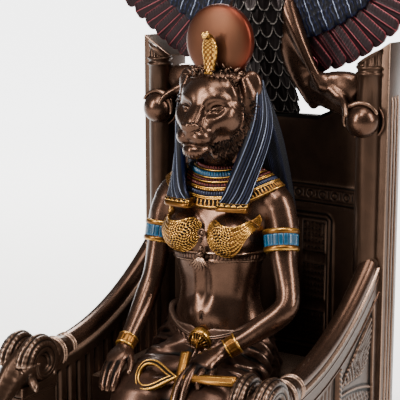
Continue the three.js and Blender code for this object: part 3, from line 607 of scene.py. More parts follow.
    def shell(self) -> Shell:
        """Lays a skin of four-sided faces over the clay.

        Every grid cell that the surface passes through gets one point, the mean
        of the places where its edges cross the surface. Every grid edge that
        crosses the surface gets the face between its four cells. The points then
        move along the slope of the distances until they lie on the surface.

        Returns:
            The shell, turned outwards.
        """
        for axis in range(3):
            edge = [slice(None)] * 3
            for end in (0, -1):
                edge[axis] = end
                self.depth[tuple(edge)] = np.maximum(self.depth[tuple(edge)], 0.1)
        inside = self.depth < 0
        cells = tuple(s - 1 for s in inside.shape)
        count = np.zeros(cells, np.int8)
        for i, j, k in np.ndindex(2, 2, 2):
            count += inside[i:i + cells[0], j:j + cells[1], k:k + cells[2]]
        base = np.argwhere((count > 0) & (count < 8))
        number = np.full(cells, -1, np.int32)
        number[tuple(base.T)] = np.arange(len(base))
        total, crossings = np.zeros((len(base), 3)), np.zeros(len(base))
        for axis in range(3):
            way = np.eye(3, dtype=int)[axis]
            others = [np.eye(3, dtype=int)[(axis + s) % 3] for s in (1, 2)]
            for u, v in np.ndindex(2, 2):
                start = base + u * others[0] + v * others[1]
                a, b = self.depth[tuple(start.T)], self.depth[tuple((start + way).T)]
                crossed = (a < 0) != (b < 0)
                share = np.where(crossed, a / np.where(crossed, a - b, 1), 0)
                total += np.where(crossed[:, None], start + share[:, None] * way, 0)
                crossings += crossed
        points = self.low + self.step * total / crossings[:, None]
        quads = []
        for axis in range(3):
            low, high = ([slice(None)] * 3 for _ in range(2))
            low[axis], high[axis] = slice(None, -1), slice(1, None)
            leaving = inside[tuple(low)]
            ids = np.argwhere(leaving != inside[tuple(high)])
            u, v = (np.eye(3, dtype=int)[(axis + s) % 3] for s in (1, 2))
            quad = np.stack([number[tuple((ids - o).T)] for o in (u + v, v, 0 * u, u)], 1)
            forward = leaving[tuple(ids.T)]
            quads.append(np.where(forward[:, None], quad, quad[:, ::-1]))
        for _ in range(2):
            slope = np.stack([(self.sample(points + 0.5 * self.step * e)
                               - self.sample(points - 0.5 * self.step * e))
                              / self.step for e in np.eye(3)], 1)
            move = self.sample(points)[:, None] * slope / np.maximum((slope**2).sum(1), 0.05)[:, None]
            points -= np.clip(move, -0.4 * self.step, 0.4 * self.step)
        return Shell(points, [np.concatenate(quads)])


def turn_matrix(degrees: Row) -> Array:
    """Returns the matrix that turns about x, then y, then z."""
    a, b, c = np.radians(degrees)
    rx = np.array([[1, 0, 0], [0, math.cos(a), -math.sin(a)], [0, math.sin(a), math.cos(a)]])
    ry = np.array([[math.cos(b), 0, math.sin(b)], [0, 1, 0], [-math.sin(b), 0, math.cos(b)]])
    rz = np.array([[math.cos(c), -math.sin(c), 0], [math.sin(c), math.cos(c), 0], [0, 0, 1]])
    return rz @ ry @ rx


# Finishes


def to_linear(code: str) -> tuple[float, float, float, float]:
    """Returns an sRGB hex colour such as #4a3324 in linear light, with an alpha of 1."""
    value = np.array([int(code[i:i + 2], 16) for i in (1, 3, 5)]) / 255
    light = np.where(value <= 0.04045, value / 12.92, ((value + 0.055) / 1.055) ** 2.4)
    return (*light.tolist(), 1.0)


def add_node(tree: bpy.types.NodeTree, kind: str, inputs: Optional[dict] = None,
             **settings) -> bpy.types.Node:
    """Adds a shader node.

    Args:
        tree: The material's node tree.
        kind: The node's type.
        inputs: A value or an output to link, for each input by its name or number.
        settings: The node's own settings.

    Returns:
        The node.
    """
    node = tree.nodes.new(kind)
    for name, value in settings.items():
        setattr(node, name, value)
    for name, value in (inputs or {}).items():
        if isinstance(value, bpy.types.NodeSocket):
            tree.links.new(value, node.inputs[name])
        else:
            node.inputs[name].default_value = value
    return node


@dataclass(frozen=True)
class Finish:
    """A patinated or painted casting: dark antique wash and painted shade in the recesses, rubbed wear and painted
    highlight on the high places.

    Attributes:
        name: Its material's name.
        wash_and_shade: Colour in the recesses: an antique wash and painted shade.
        body: Colour of the open surface.
        high: Colour on edges and ridges: rubbed wear and painted highlight.
        metallic: Share of metal in the open surface.
        roughness: Roughness of the open surface.
        edge: Height of the relief mark at which the high colour shows fully.
        patch: Size in millimetres of the cloudy changes of tone.
        grain: Size in millimetres of the speckle of metal powder.
        speckle: How strongly the speckle changes roughness and colour.
        hatch: Strength of fine slanting brush lines.
        tints: Pairs of a mark's name and the colour that is painted there.
        sheen: Level of the paint's white highlight.
    """

    name: str
    wash_and_shade: str
    body: str
    high: str
    metallic: float
    roughness: float
    edge: float = 0.5
    patch: float = 7.0
    grain: float = 0.35
    speckle: float = 0.25
    hatch: float = 0.0
    tints: tuple[tuple[str, str], ...] = ()
    sheen: float = 0.5

    def material(self) -> bpy.types.Material:
        """Returns the material, which is built the first time."""
        return bpy.data.materials.get(self.name) or self.build()

    def build(self) -> bpy.types.Material:
        """Builds the node tree.

        The relief mark, loosened by a cloudy and a fine noise, chooses between the
        recess colour (antique wash and painted shade), body colour and high colour
        (rubbed wear and painted highlight). The same noises vary roughness and make a
        slight bump.

        Returns:
            The material.
        """
        material = bpy.data.materials.new(self.name)
        material.use_nodes = True
        tree = material.node_tree
        shader = tree.nodes["Principled BSDF"]
        spot = add_node(tree, "ShaderNodeTexCoord").outputs["Object"]
        cloud, grain = (add_node(tree, "ShaderNodeTexNoise",
                                 {"Vector": spot, "Scale": 1 / (size * MM), "Detail": 2.0})
                        .outputs["Fac"] for size in (self.patch, self.grain))
        loose = add_node(tree, "ShaderNodeAttribute", attribute_name="relief").outputs["Fac"]
        for noise, share in ((cloud, 0.16), (grain, 0.24)):
            part = add_node(tree, "ShaderNodeMath", {0: noise, 1: share, 2: -0.5 * share},
                            operation="MULTIPLY_ADD")
            loose = add_node(tree, "ShaderNodeMath", {0: loose, 1: part.outputs[0]},
                             operation="ADD").outputs[0]
        # The first level darkens grooves (antique wash and painted shade), the second lightens ridges (rubbed wear
        # and painted highlight)
        levels = [(loose, -0.1, -0.55), (loose, 0.2, self.edge), (cloud, 0.3, 0.72)]
        if self.hatch:
            levels.append((self.lines(tree, spot), 1.0 - 0.5 * self.hatch, 1.3 - 0.6 * self.hatch))
        wash_and_shade, high, tone, *brush = (
            add_node(tree, "ShaderNodeMapRange", {"Value": value, "From Min": zero, "From Max": full},
                     interpolation_type="SMOOTHSTEP").outputs[0] for value, zero, full in levels)
        marks = [(add_node(tree, "ShaderNodeAttribute", attribute_name=mark).outputs["Fac"], to_linear(code))
                 for mark, code in self.tints]
        body = to_linear(self.body)
        colour = tuple(0.87 * v for v in body[:3]) + (1.0,)
        for share, over in ((tone, tuple(1.13 * v for v in body[:3]) + (1.0,)), *marks,
                            (high, to_linear(self.high)),
                            *((line, to_linear(self.high)) for line in brush), (wash_and_shade, to_linear(self.wash_and_shade))):
            colour = add_node(tree, "ShaderNodeMix", {0: share, 6: colour, 7: over},
                              data_type="RGBA").outputs[2]
        rough = self.roughness - 0.5 * self.speckle
        for value, share in ((grain, self.speckle), (wash_and_shade, 0.2), (high, -0.05)):
            rough = add_node(tree, "ShaderNodeMath", {0: value, 1: share, 2: rough},
                             operation="MULTIPLY_ADD").outputs[0]
        bump = add_node(tree, "ShaderNodeBump", {"Height": grain, "Strength": 0.14, "Distance": 0.05 * MM})
        for name, value in (("Base Color", colour), ("Roughness", rough), ("Normal", bump.outputs["Normal"])):
            tree.links.new(value, shader.inputs[name])
        shader.inputs["Metallic"].default_value = self.metallic
        shader.inputs["Specular IOR Level"].default_value = self.sheen
        return material

    @staticmethod
    def lines(tree: bpy.types.NodeTree, spot: bpy.types.NodeSocket) -> bpy.types.NodeSocket:
        """Draws fine slanting brush lines, as noise stretched along a slant.

        Args:
            tree: The node tree.
            spot: The place on the piece.

        Returns:
            The lines' strength.
        """
        slant = add_node(tree, "ShaderNodeMapping", {"Vector": spot, "Rotation": (0, math.radians(52), 0),
                                                     "Scale": (1, 1, 0.06)}).outputs["Vector"]
        return add_node(tree, "ShaderNodeTexNoise", {"Vector": slant, "Scale": 1 / (0.45 * MM),
                                                     "Detail": 2.0}).outputs["Fac"]


# Cast bonded bronze, dark brown with powder in it: warm rubbed highs with a painted highlight on them, near black in
# the grooves as antique wash and painted shade
BRONZE_SKIN = Finish("BurnishedBondedBronzeWithPaintedShadeAndHighlight", "#080504", "#422f25", "#bc9a82", 0.9, 0.27, edge=2.0,
                     sheen=0.25)
# The same casting, less rubbed and with less painted highlight: the throne stays dark and satin
BRONZE_THRONE = Finish("DarkBondedBronze", "#050403", "#34251c", "#8a7060", 0.8, 0.32, edge=1.4, sheen=0.2)
# The same, with a reddish cloth colour washed over it
BRONZE_CLOTH = Finish("ReddishBondedBronze", "#050403", "#38271f", "#7d6659", 0.82, 0.32, edge=1.8, sheen=0.2,
                      speckle=0.35)
# Antique gold paint wiped off over dark brown: bright relief with a painted highlight, brown grooves darkened further
# by painted shade
GOLD_RUBBED_AND_HIGHLIGHTED = Finish("WipedGoldPaintWithPaintedShadeAndHighlight", "#0e0703", "#593812", "#b98a40", 0.9, 0.32, edge=0.8, speckle=0.3)
# Satin copper paint, brushed crosswise: orange bloom with fine slanting lines
COPPER_BRUSHED = Finish("BrushedCopperPaint", "#1c0d08", "#43281a", "#8a5c42", 0.85, 0.42, edge=2.5,
                        patch=12.0, hatch=0.35, sheen=0.3, tints=(("rim", "#4c1a0e"),))
# Navy enamel wash with silver-grey rubbed along every strand, partly a painted highlight, and painted shade in the
# grooves
NAVY_RUBBED_AND_HIGHLIGHTED = Finish("DryBrushedNavyPaintWithPaintedShadeAndHighlight", "#010105", "#070d24", "#8b94a8", 0.5, 0.33, edge=1.5, grain=0.5,
                     sheen=0.22)
# Maroon enamel wash, rose where the quills are rubbed, partly a painted highlight
MAROON_RUBBED_AND_HIGHLIGHTED = Finish("DryBrushedMaroonPaintWithPaintedShadeAndHighlight", "#050203", "#130508", "#7c3a40", 0.5, 0.36, edge=1.4,
                       grain=0.5,
                       sheen=0.2)
# Dark brown feathers, rubbed silver at the scales' edges, partly a painted highlight
FEATHER_RUBBED_AND_HIGHLIGHTED = Finish("DryBrushedDarkBronzeWithPaintedShadeAndHighlight", "#030202", "#0f0a0a", "#766f6b", 0.8, 0.34, edge=1.5,
                        sheen=0.25)
# Turquoise enamel, satin, with darker seams between the stones, partly painted shade
TURQUOISE_PAINT = Finish("TurquoiseEnamel", "#010a10", "#032b41", "#11648c", 0.0, 0.3, edge=2.6, grain=0.6,
                         sheen=0.3)
# Garnet red enamel on the middle row of the collar
GARNET_PAINT = Finish("GarnetEnamel", "#080202", "#25070a", "#54201a", 0.5, 0.34, edge=1.2, sheen=0.25)


# From shells to pieces of the statue


def point_normals(shell: Shell) -> Array:
    """Returns the unit normals at the points, the mean of their faces' by area."""
    total = np.zeros_like(shell.points)
    for faces in shell.faces:
        corner = shell.points[faces]
        across = corner[:, 2] - corner[:, 0]
        other = corner[:, 3 % faces.shape[1]] - corner[:, 1]
        normal = np.cross(across, other) if faces.shape[1] > 3 else np.cross(corner[:, 1] - corner[:, 0],
                                                                             across)
        for k in range(faces.shape[1]):
            for axis in range(3):
                total[:, axis] += np.bincount(faces[:, k], normal[:, axis], len(total))
    return total / np.maximum(np.linalg.norm(total, axis=1, keepdims=True), 1e-12)


def relief(shell: Shell, rounds: int, reach: float) -> Array:
    """Works out how far each point stands out from what is round it.

    The points move to the mean of themselves and their neighbours, several
    times over. What that takes away along the normal is the relief.

    Args:
        shell: The shell.
        rounds: How many times the points move: more for broader forms.
        reach: Relief in millimetres that counts as 1.

    Returns:
        Numbers from -1 in a groove to 1 on a ridge.
    """
    pairs = np.concatenate([np.stack([f.ravel(), np.roll(f, -1, 1).ravel()]) for f in shell.faces], axis=1)
    here, there = np.concatenate([pairs, pairs[::-1]], axis=1)
    count = np.maximum(np.bincount(here, minlength=len(shell.points)), 1)
    smooth = shell.points.copy()
    for _ in range(rounds):
        mean = np.stack([np.bincount(here, smooth[there, k], len(smooth)) for k in range(3)], 1)
        smooth = 0.4 * smooth + 0.6 * mean / count[:, None]
    out = ((shell.points - smooth) * point_normals(shell)).sum(1)
    return np.clip(out / reach, -1, 1)


# A piece of more triangles than this is thinned, which keeps the statue under a million in all
DENSE = 15000


def thinned(thing: bpy.types.Object, share: float) -> None:
    """Merges an object's edges, the flattest places first, until a share of its triangles is left."""
    tool = thing.modifiers.new("thin", "DECIMATE")
    tool.ratio = share
    full, name = thing.data, thing.data.name
    thing.data = bpy.data.meshes.new_from_object(thing.evaluated_get(bpy.context.evaluated_depsgraph_get()))
    thing.modifiers.remove(tool)
    bpy.data.meshes.remove(full)
    thing.data.name = name


def piece(name: str, shell: Shell, finish: Finish, look: Look, node: str,
          rounds: int = 12, reach: float = 0.28, share: float = 0.42) -> bpy.types.Object:
    """Makes a shell into a piece of the statue and dresses it.

    Args:
        name: The piece's name.
        shell: Its surface in millimetres.
        finish: Its finish.
        look: The record's slot for that finish; not used.
        node: The solid that it stands for.
        rounds: How broad the forms are that the wash and painted shade tell apart.
        reach: Relief in millimetres that counts as fully high: rubbed wear and painted highlight.
        share: Share of its triangles that a piece of more than DENSE keeps.

    Returns:
        The object.
    """
    mesh = bpy.data.meshes.new(name)
    mesh.vertices.add(len(shell.points))
    mesh.vertices.foreach_set("co", (shell.points * MM).astype(np.float32).ravel())
    sizes = np.concatenate([np.full(len(f), f.shape[1]) for f in shell.faces])
    mesh.loops.add(int(sizes.sum()))
    mesh.loops.foreach_set("vertex_index", np.concatenate([f.ravel() for f in shell.faces]).astype(np.int32))
    mesh.polygons.add(len(sizes))
    mesh.polygons.foreach_set("loop_start", np.concatenate([[0], np.cumsum(sizes)[:-1]]).astype(np.int32))
    mesh.polygons.foreach_set("use_smooth", np.ones(len(sizes), bool))
    mesh.update(calc_edges=True)
    mesh.validate()
    # The relief mark, with a piece's lift mark added, sets the dark recess colour (antique wash and painted shade)
    # and the high colour (rubbed wear and painted highlight)
    marks = {"relief": relief(shell, rounds, reach)}
    marks.update({key: shell.marks.get(key, np.zeros(len(shell.points))) for key, _ in finish.tints})
    if "lift" in shell.marks:
        marks["relief"] = np.clip(marks["relief"] + shell.marks["lift"], -1, 1)
    for key, value in marks.items():
        layer = mesh.attributes.new(key, "FLOAT", "POINT")
        layer.data.foreach_set("value", np.asarray(value, np.float32))
    mesh.materials.append(finish.material())
    thing = bpy.data.objects.new(name, mesh)
    bpy.context.scene.collection.objects.link(thing)
    if int((sizes - 2).sum()) > DENSE:
        thinned(thing, share)
    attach(thing, "root")
    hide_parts(node)
    log.info("%s: %d of %d triangles", name, sum(len(face.vertices) - 2 for face in thing.data.polygons),
             int((sizes - 2).sum()))
    return thing


# The goddess

HIP, SEAT = 21.0, 76.3


def figure(rows: Rows) -> Array:
    """Moves rows laid out from the middle of the seat (across, back, up, ...) to their place."""
    table = np.array(rows, float)
    table[:, :3] += (0, HIP, SEAT)
    return table


@dataclass
class Body:
    """Torso, arms and hands, modelled as one block of clay.

    Attributes:
        step: Spacing of the clay's grid.
        torso: Height, middle, half width, front and back of the torso's sections.
        left_arm: Stations of the arm that crosses to the ankh.
        right_arm: Stations of the arm that lies along the thigh.
        bust: Middle of a breast.
        clay: The finished block.
    """

    step: float = 0.6
    torso: tuple = ((0, -3, 24, 17, 17), (6, -3, 27, 19, 19), (24, -2.5, 22.6, 15.4, 15),
                    (35, -2.6, 19.2, 14.2, 11.2), (43, -3, 18.9, 12.6, 10.6), (60, -4, 21.6, 12.4, 12.8),
                    (80, -0.4, 25.4, 10.8, 12.7), (88, 1.5, 22, 10, 10.5), (93, 1.5, 9.6, 9.8, 9.2),
                    (106, -3, 8.6, 8.6, 8.6))
    left_arm: tuple = ((21, 1, 83, 5), (26, 0.4, 79, 7), (29.4, -1.6, 70, 6.5), (31.6, -4.6, 58, 5.7),
                       (35.6, -8.6, 48, 5.1), (38, -12.4, 41, 5.0), (36.4, -15.4, 36.4, 5.2),
                       (30, -19, 30.8, 5.0), (22.6, -23.4, 25, 3.9), (16.6, -27.6, 20.8, 3.2))
    right_arm: tuple = ((-21, 1, 83, 5), (-26, 0.4, 79, 7), (-29.2, -1.6, 70, 6.5), (-30.2, -4.4, 57, 5.6),
                        (-30.6, -8.6, 44, 4.9), (-31, -13, 36.4, 5.1), (-30.8, -19.5, 29, 4.7),
                        (-30.2, -27.4, 22, 3.8), (-29.7, -33.4, 16.6, 3.1))
    bust: tuple = (11.6, -11.6, 66)
    clay: Optional[Clay] = None

    def model(self) -> Clay:
        """Models the block.

        Level ellipses give the torso, tapered smooth lines the arms and fingers,
        ellipsoids the shoulders, breasts and palms. Grooves are carved with the
        same lines.

        Returns:
            The block of clay.
        """
        clay = Clay((-44.5, -34, 78), (44.5, 42, 186), self.step)
        clay.trunk([(SEAT + z, HIP + y, w, f, b) for z, y, w, f, b in self.torso], power=2.05)
        for rows in (self.left_arm, self.right_arm):
            clay.worm(figure(rows), soft=3.0)
        clay.egg(*self.place((20, 2.4, 81), (8, 7, 6.5)), soft=5, pair=True)
        clay.egg(*self.place(self.bust, (9.8, 8.6, 8.9)), soft=2.4, pair=True)
        clay.egg(*self.place((30.6, -1.2, 67), (5.2, 5.4, 9)), soft=3, pair=True)
        self.carve_front(clay)
        self.left_hand(clay)
        self.right_hand(clay)
        self.clay = clay
        return clay

    @staticmethod
    def place(centre: Row, radii: Row) -> tuple[Array, Row]:
        """Returns an ellipsoid of the figure's grid in its place."""
        return figure([centre])[0], radii

    def carve_front(self, clay: Clay) -> None:
        """Shapes the belly: middle line, lower swell and navel."""
        def belly(x: Array, y: Array, z: Array) -> Array:
            """A soft groove down the middle between two long swells."""
            up = z - SEAT
            front = unit((16 - y) / 4)
            groove = -0.5 * bell(x, 0, 1.6) * unit((56 - up) / 8) * unit((up - 30) / 8)
            swell = 0.65 * bell(np.abs(x), 4.8, 2.6) * unit((58 - up) / 10) \
                * unit((up - 26) / 8)
            return front * (groove + swell)

        clay.raise_by((-22, -6, 98), (22, 18, 138), belly)
        clay.egg(*self.place((0, -14.6, 30), (8, 4.4, 6)), soft=5)
        clay.worm(figure([(0, -19.2, 33.0, 0.4), (0, -19.1, 31.4, 0.5), (0, -19.2, 29.8, 0.35)]), soft=0.6,
                  carve=True)

    def fingers(self, clay: Clay, rows: Sequence[Rows]) -> None:
        """Adds fingers of the figure's grid, each a smooth line of balls."""
        for finger in rows:
            clay.worm(figure(finger), soft=0.3)

    def left_hand(self, clay: Clay) -> None:
        """Lays the left hand over the ankh: two fingers stretched out, two curled round the shaft."""
        clay.egg(*self.place((11.8, -32.6, 17.4), (6.0, 7.4, 3.2)), soft=2.4, turn=(24, 0, -28))
        clay.egg(*self.place((11, -36.6, 15.6), (5.6, 3.4, 2.5)), soft=2.0, turn=(24, 0, -14))
        self.fingers(clay, [
            [(6.8, -36.6, 15.2, 1.9), (5.8, -42, 12.8, 1.85), (5.6, -46.6, 8.6, 1.7), (6, -50.4, 4, 1.2)],
            [(10, -37.8, 15.4, 1.9), (9.4, -43.4, 13.4, 1.85), (9.4, -47.6, 8.6, 1.65),
             (9.6, -50.4, 4.6, 1.15)],
            [(13, -37.2, 15.2, 1.9), (13.4, -42.6, 13, 1.75), (13.8, -44.2, 9.2, 1.65),
             (13.6, -42.2, 6.4, 1.35)],
            [(15.6, -34.8, 14.6, 1.7), (16.8, -39.6, 12.8, 1.6), (17.2, -41, 9.4, 1.5),
             (16.6, -39.4, 6.8, 1.2)],
            [(7.4, -29.6, 17, 2.1), (3.8, -33, 15.2, 1.8), (2.4, -36.6, 13, 1.4)],
        ])

    def right_hand(self, clay: Clay) -> None:
        """Lays the right hand on the thigh, its fingers hanging over the knee."""
        clay.egg(*self.place((-29.4, -39, 14.2), (4.9, 6.6, 2.5)), soft=2.4, turn=(25, 0, 0))
        self.fingers(clay, [
            [(-25.8, -41.6, 12.2, 1.65), (-25, -46, 9, 1.5), (-24.9, -48.8, 4.4, 1.35),
             (-25.2, -49.6, 1, 1.0)],
            [(-28.2, -42.4, 12.6, 1.7), (-27.6, -47, 9.4, 1.55), (-27.3, -50, 4, 1.4),
             (-27.4, -50.8, 0, 1.0)],
            [(-30.6, -42.4, 12.4, 1.7), (-30.2, -46.8, 9, 1.55), (-29.8, -49.8, 3.6, 1.4),
             (-29.6, -50.6, -0.2, 1.0)],
            [(-32.8, -41, 11.8, 1.55), (-32.7, -45, 8.6, 1.4), (-32.2, -48, 4, 1.25), (-31.8, -48.8, 1, 0.9)],
            [(-27, -34.6, 15, 2.1), (-22.8, -39, 11.8, 1.75), (-21.2, -43, 9, 1.3)],
        ])

    def build(self) -> None:
        """Builds the bronze body."""
        self.model()
        shell = self.clay.shell()
        # Near the hands the relief mark is lowered, so the fingers take less rubbed wear and painted highlight and
        # more antique wash and painted shade
        hands = sum(np.exp(-(((shell.points - figure([spot])[0]) / 11) ** 2).sum(1))
                    for spot in ((11.4, -40, 12), (-28.5, -44, 8)))
        piece("body", shell.marked("lift", -0.7 * hands), BRONZE_SKIN, Look.BRONZE, "goddess", rounds=16,
              reach=0.6)


@dataclass
class Legs:
    """Thighs under the wrapped skirt, the skirt that hangs before the seat, and the feet.

    Attributes:
        step: Spacing of the clay's grid.
        seat_front: Where the cloth ends against the seat, from front to back.
    """

    step: float = 0.66
    seat_front: float = -10.3

    def model(self) -> Clay:
        """Models the block: thighs and feet as tapered lines, cloth as level ellipses with folds."""
        clay = Clay((-36, -52, 12.5), (36, 43, 108), self.step)
        clay.worm(figure([(13, 6, 6, 8), (14, -9, 7, 8.4), (15.6, -33, 4.4, 8.3), (15.9, -44, -1, 8.2),
                          (15.6, -47, -8, 7.6)]), soft=4, pair=True, squash=(1.55, 1, 1))
        clay.trunk([(SEAT, HIP - 18, 22, 26, 20), (SEAT + 8, HIP - 18, 20, 22, 18)], soft=4, power=3)
        clay.trunk([(SEAT - 1, HIP - 42, 25.6, 8.4, 8), (SEAT - 14, HIP - 43.5, 26.2, 12, 8),
                    (SEAT - 53, HIP - 44, 21.6, 11, 10)], soft=3, power=2.6)
        clay.trunk([(SEAT + 2, HIP - 3, 25.4, 18.2, 18.4), (SEAT + 12, HIP - 3, 25.8, 17.6, 18),
                    (SEAT + 26, HIP - 3, 22.8, 15.6, 15.6)], soft=4, power=2.3)
        for rows in (((18.5, -5, 25, 3.4), (23.5, -8, 17, 4.6), (25.5, -13, 8, 4)),
                     ((8, -14, 17.5, 2.6), (16, -19, 14, 3.6), (24, -20, 9.5, 3.4))):
            clay.worm(figure(rows), soft=4, pair=True)
        self.folds(clay)
        clay.worm(figure([(10.5, -41, -50, 4.8), (10.5, -48, -56.6, 4.7), (11.2, -57, -58.6, 3.6)]), soft=2,
                  pair=True)
        self.toes(clay)
        clay.cut_box((-60, self.seat_front, 0), (60, 80, SEAT))
        return clay

    def folds(self, clay: Clay) -> None:
        """Lifts the cloth into folds.

        Before the seat the lift is a cosine across the skirt whose period grows
        towards the hem. Over the thighs it is a cosine of the distance from a
        line between the belt's clasp and the knee, fading out to the sides.
        """
        def hanging(x: Array, y: Array, z: Array) -> Array:
            """Pleats of the hanging skirt."""
            width = 3.1 + 0.02 * (SEAT - z)
            wave = np.cos(2 * np.pi * (np.abs(x) + 0.5 * np.sin(z / 9)) / width)
            side = 0.55 + 0.25 * np.sin(np.abs(x) * 0.7)
            return side * wave * unit((SEAT - 7 - z) / 14) * (y < 6)

        def lap(x: Array, y: Array, z: Array) -> Array:
            """Folds that spread from the clasp over the thighs."""
            angle = np.arctan2(np.abs(x) + 1.5, 6.5 - y)
            wave = np.cos(11 * angle + 0.1 * y) + 0.4 * np.cos(23 * angle)
            fade = unit((z - SEAT + 2) / 5) * unit((12 - y) / 12) * unit((y + 30) / 10) \
                * unit((98 - z) / 5)
            return 0.45 * wave * fade

        def hips(x: Array, y: Array, z: Array) -> Array:
            """Gathers that run down and forward round the hips, from the belt."""
            run = 0.75 * z + 0.66 * y + 1.4 * np.sin(0.35 * (y - 0.5 * z))
            wave = np.cos(2 * np.pi * run / 5.2) + 0.6 * np.cos(2 * np.pi * run / 2.3 + 1 + 0.2 * x)
            return 0.32 * wave * unit((np.abs(x) - 15) / 7) * unit((z - 79) / 6) \
                * unit((104 - z) / 5)

        clay.raise_by((-34, -44, 20), (34, 8, 72), hanging)
        clay.raise_by((-34, -36, 72), (34, 14, 104), lap)
        clay.raise_by((-35, -8, 78), (35, 42, 106), hips)

    def toes(self, clay: Clay) -> None:
        """Adds five toes to each foot."""
        for k, reach in enumerate((66, 65.6, 64.2, 62.4, 60.4)):
            x = 7.6 + 1.75 * k
            clay.worm(figure([(x, -56, -59.4, 1.3), (x + 0.2, -reach + 2, -60.3, 1.25),
                              (x + 0.3, -reach, -60.9, 0.9)]), soft=0.5, pair=True)

    def build(self) -> None:
        """Builds the cloth and the feet."""
        shell = self.model().shell()
        piece("skirt_and_feet", shell, BRONZE_CLOTH, Look.BRONZE, "goddess", rounds=14, reach=0.4)


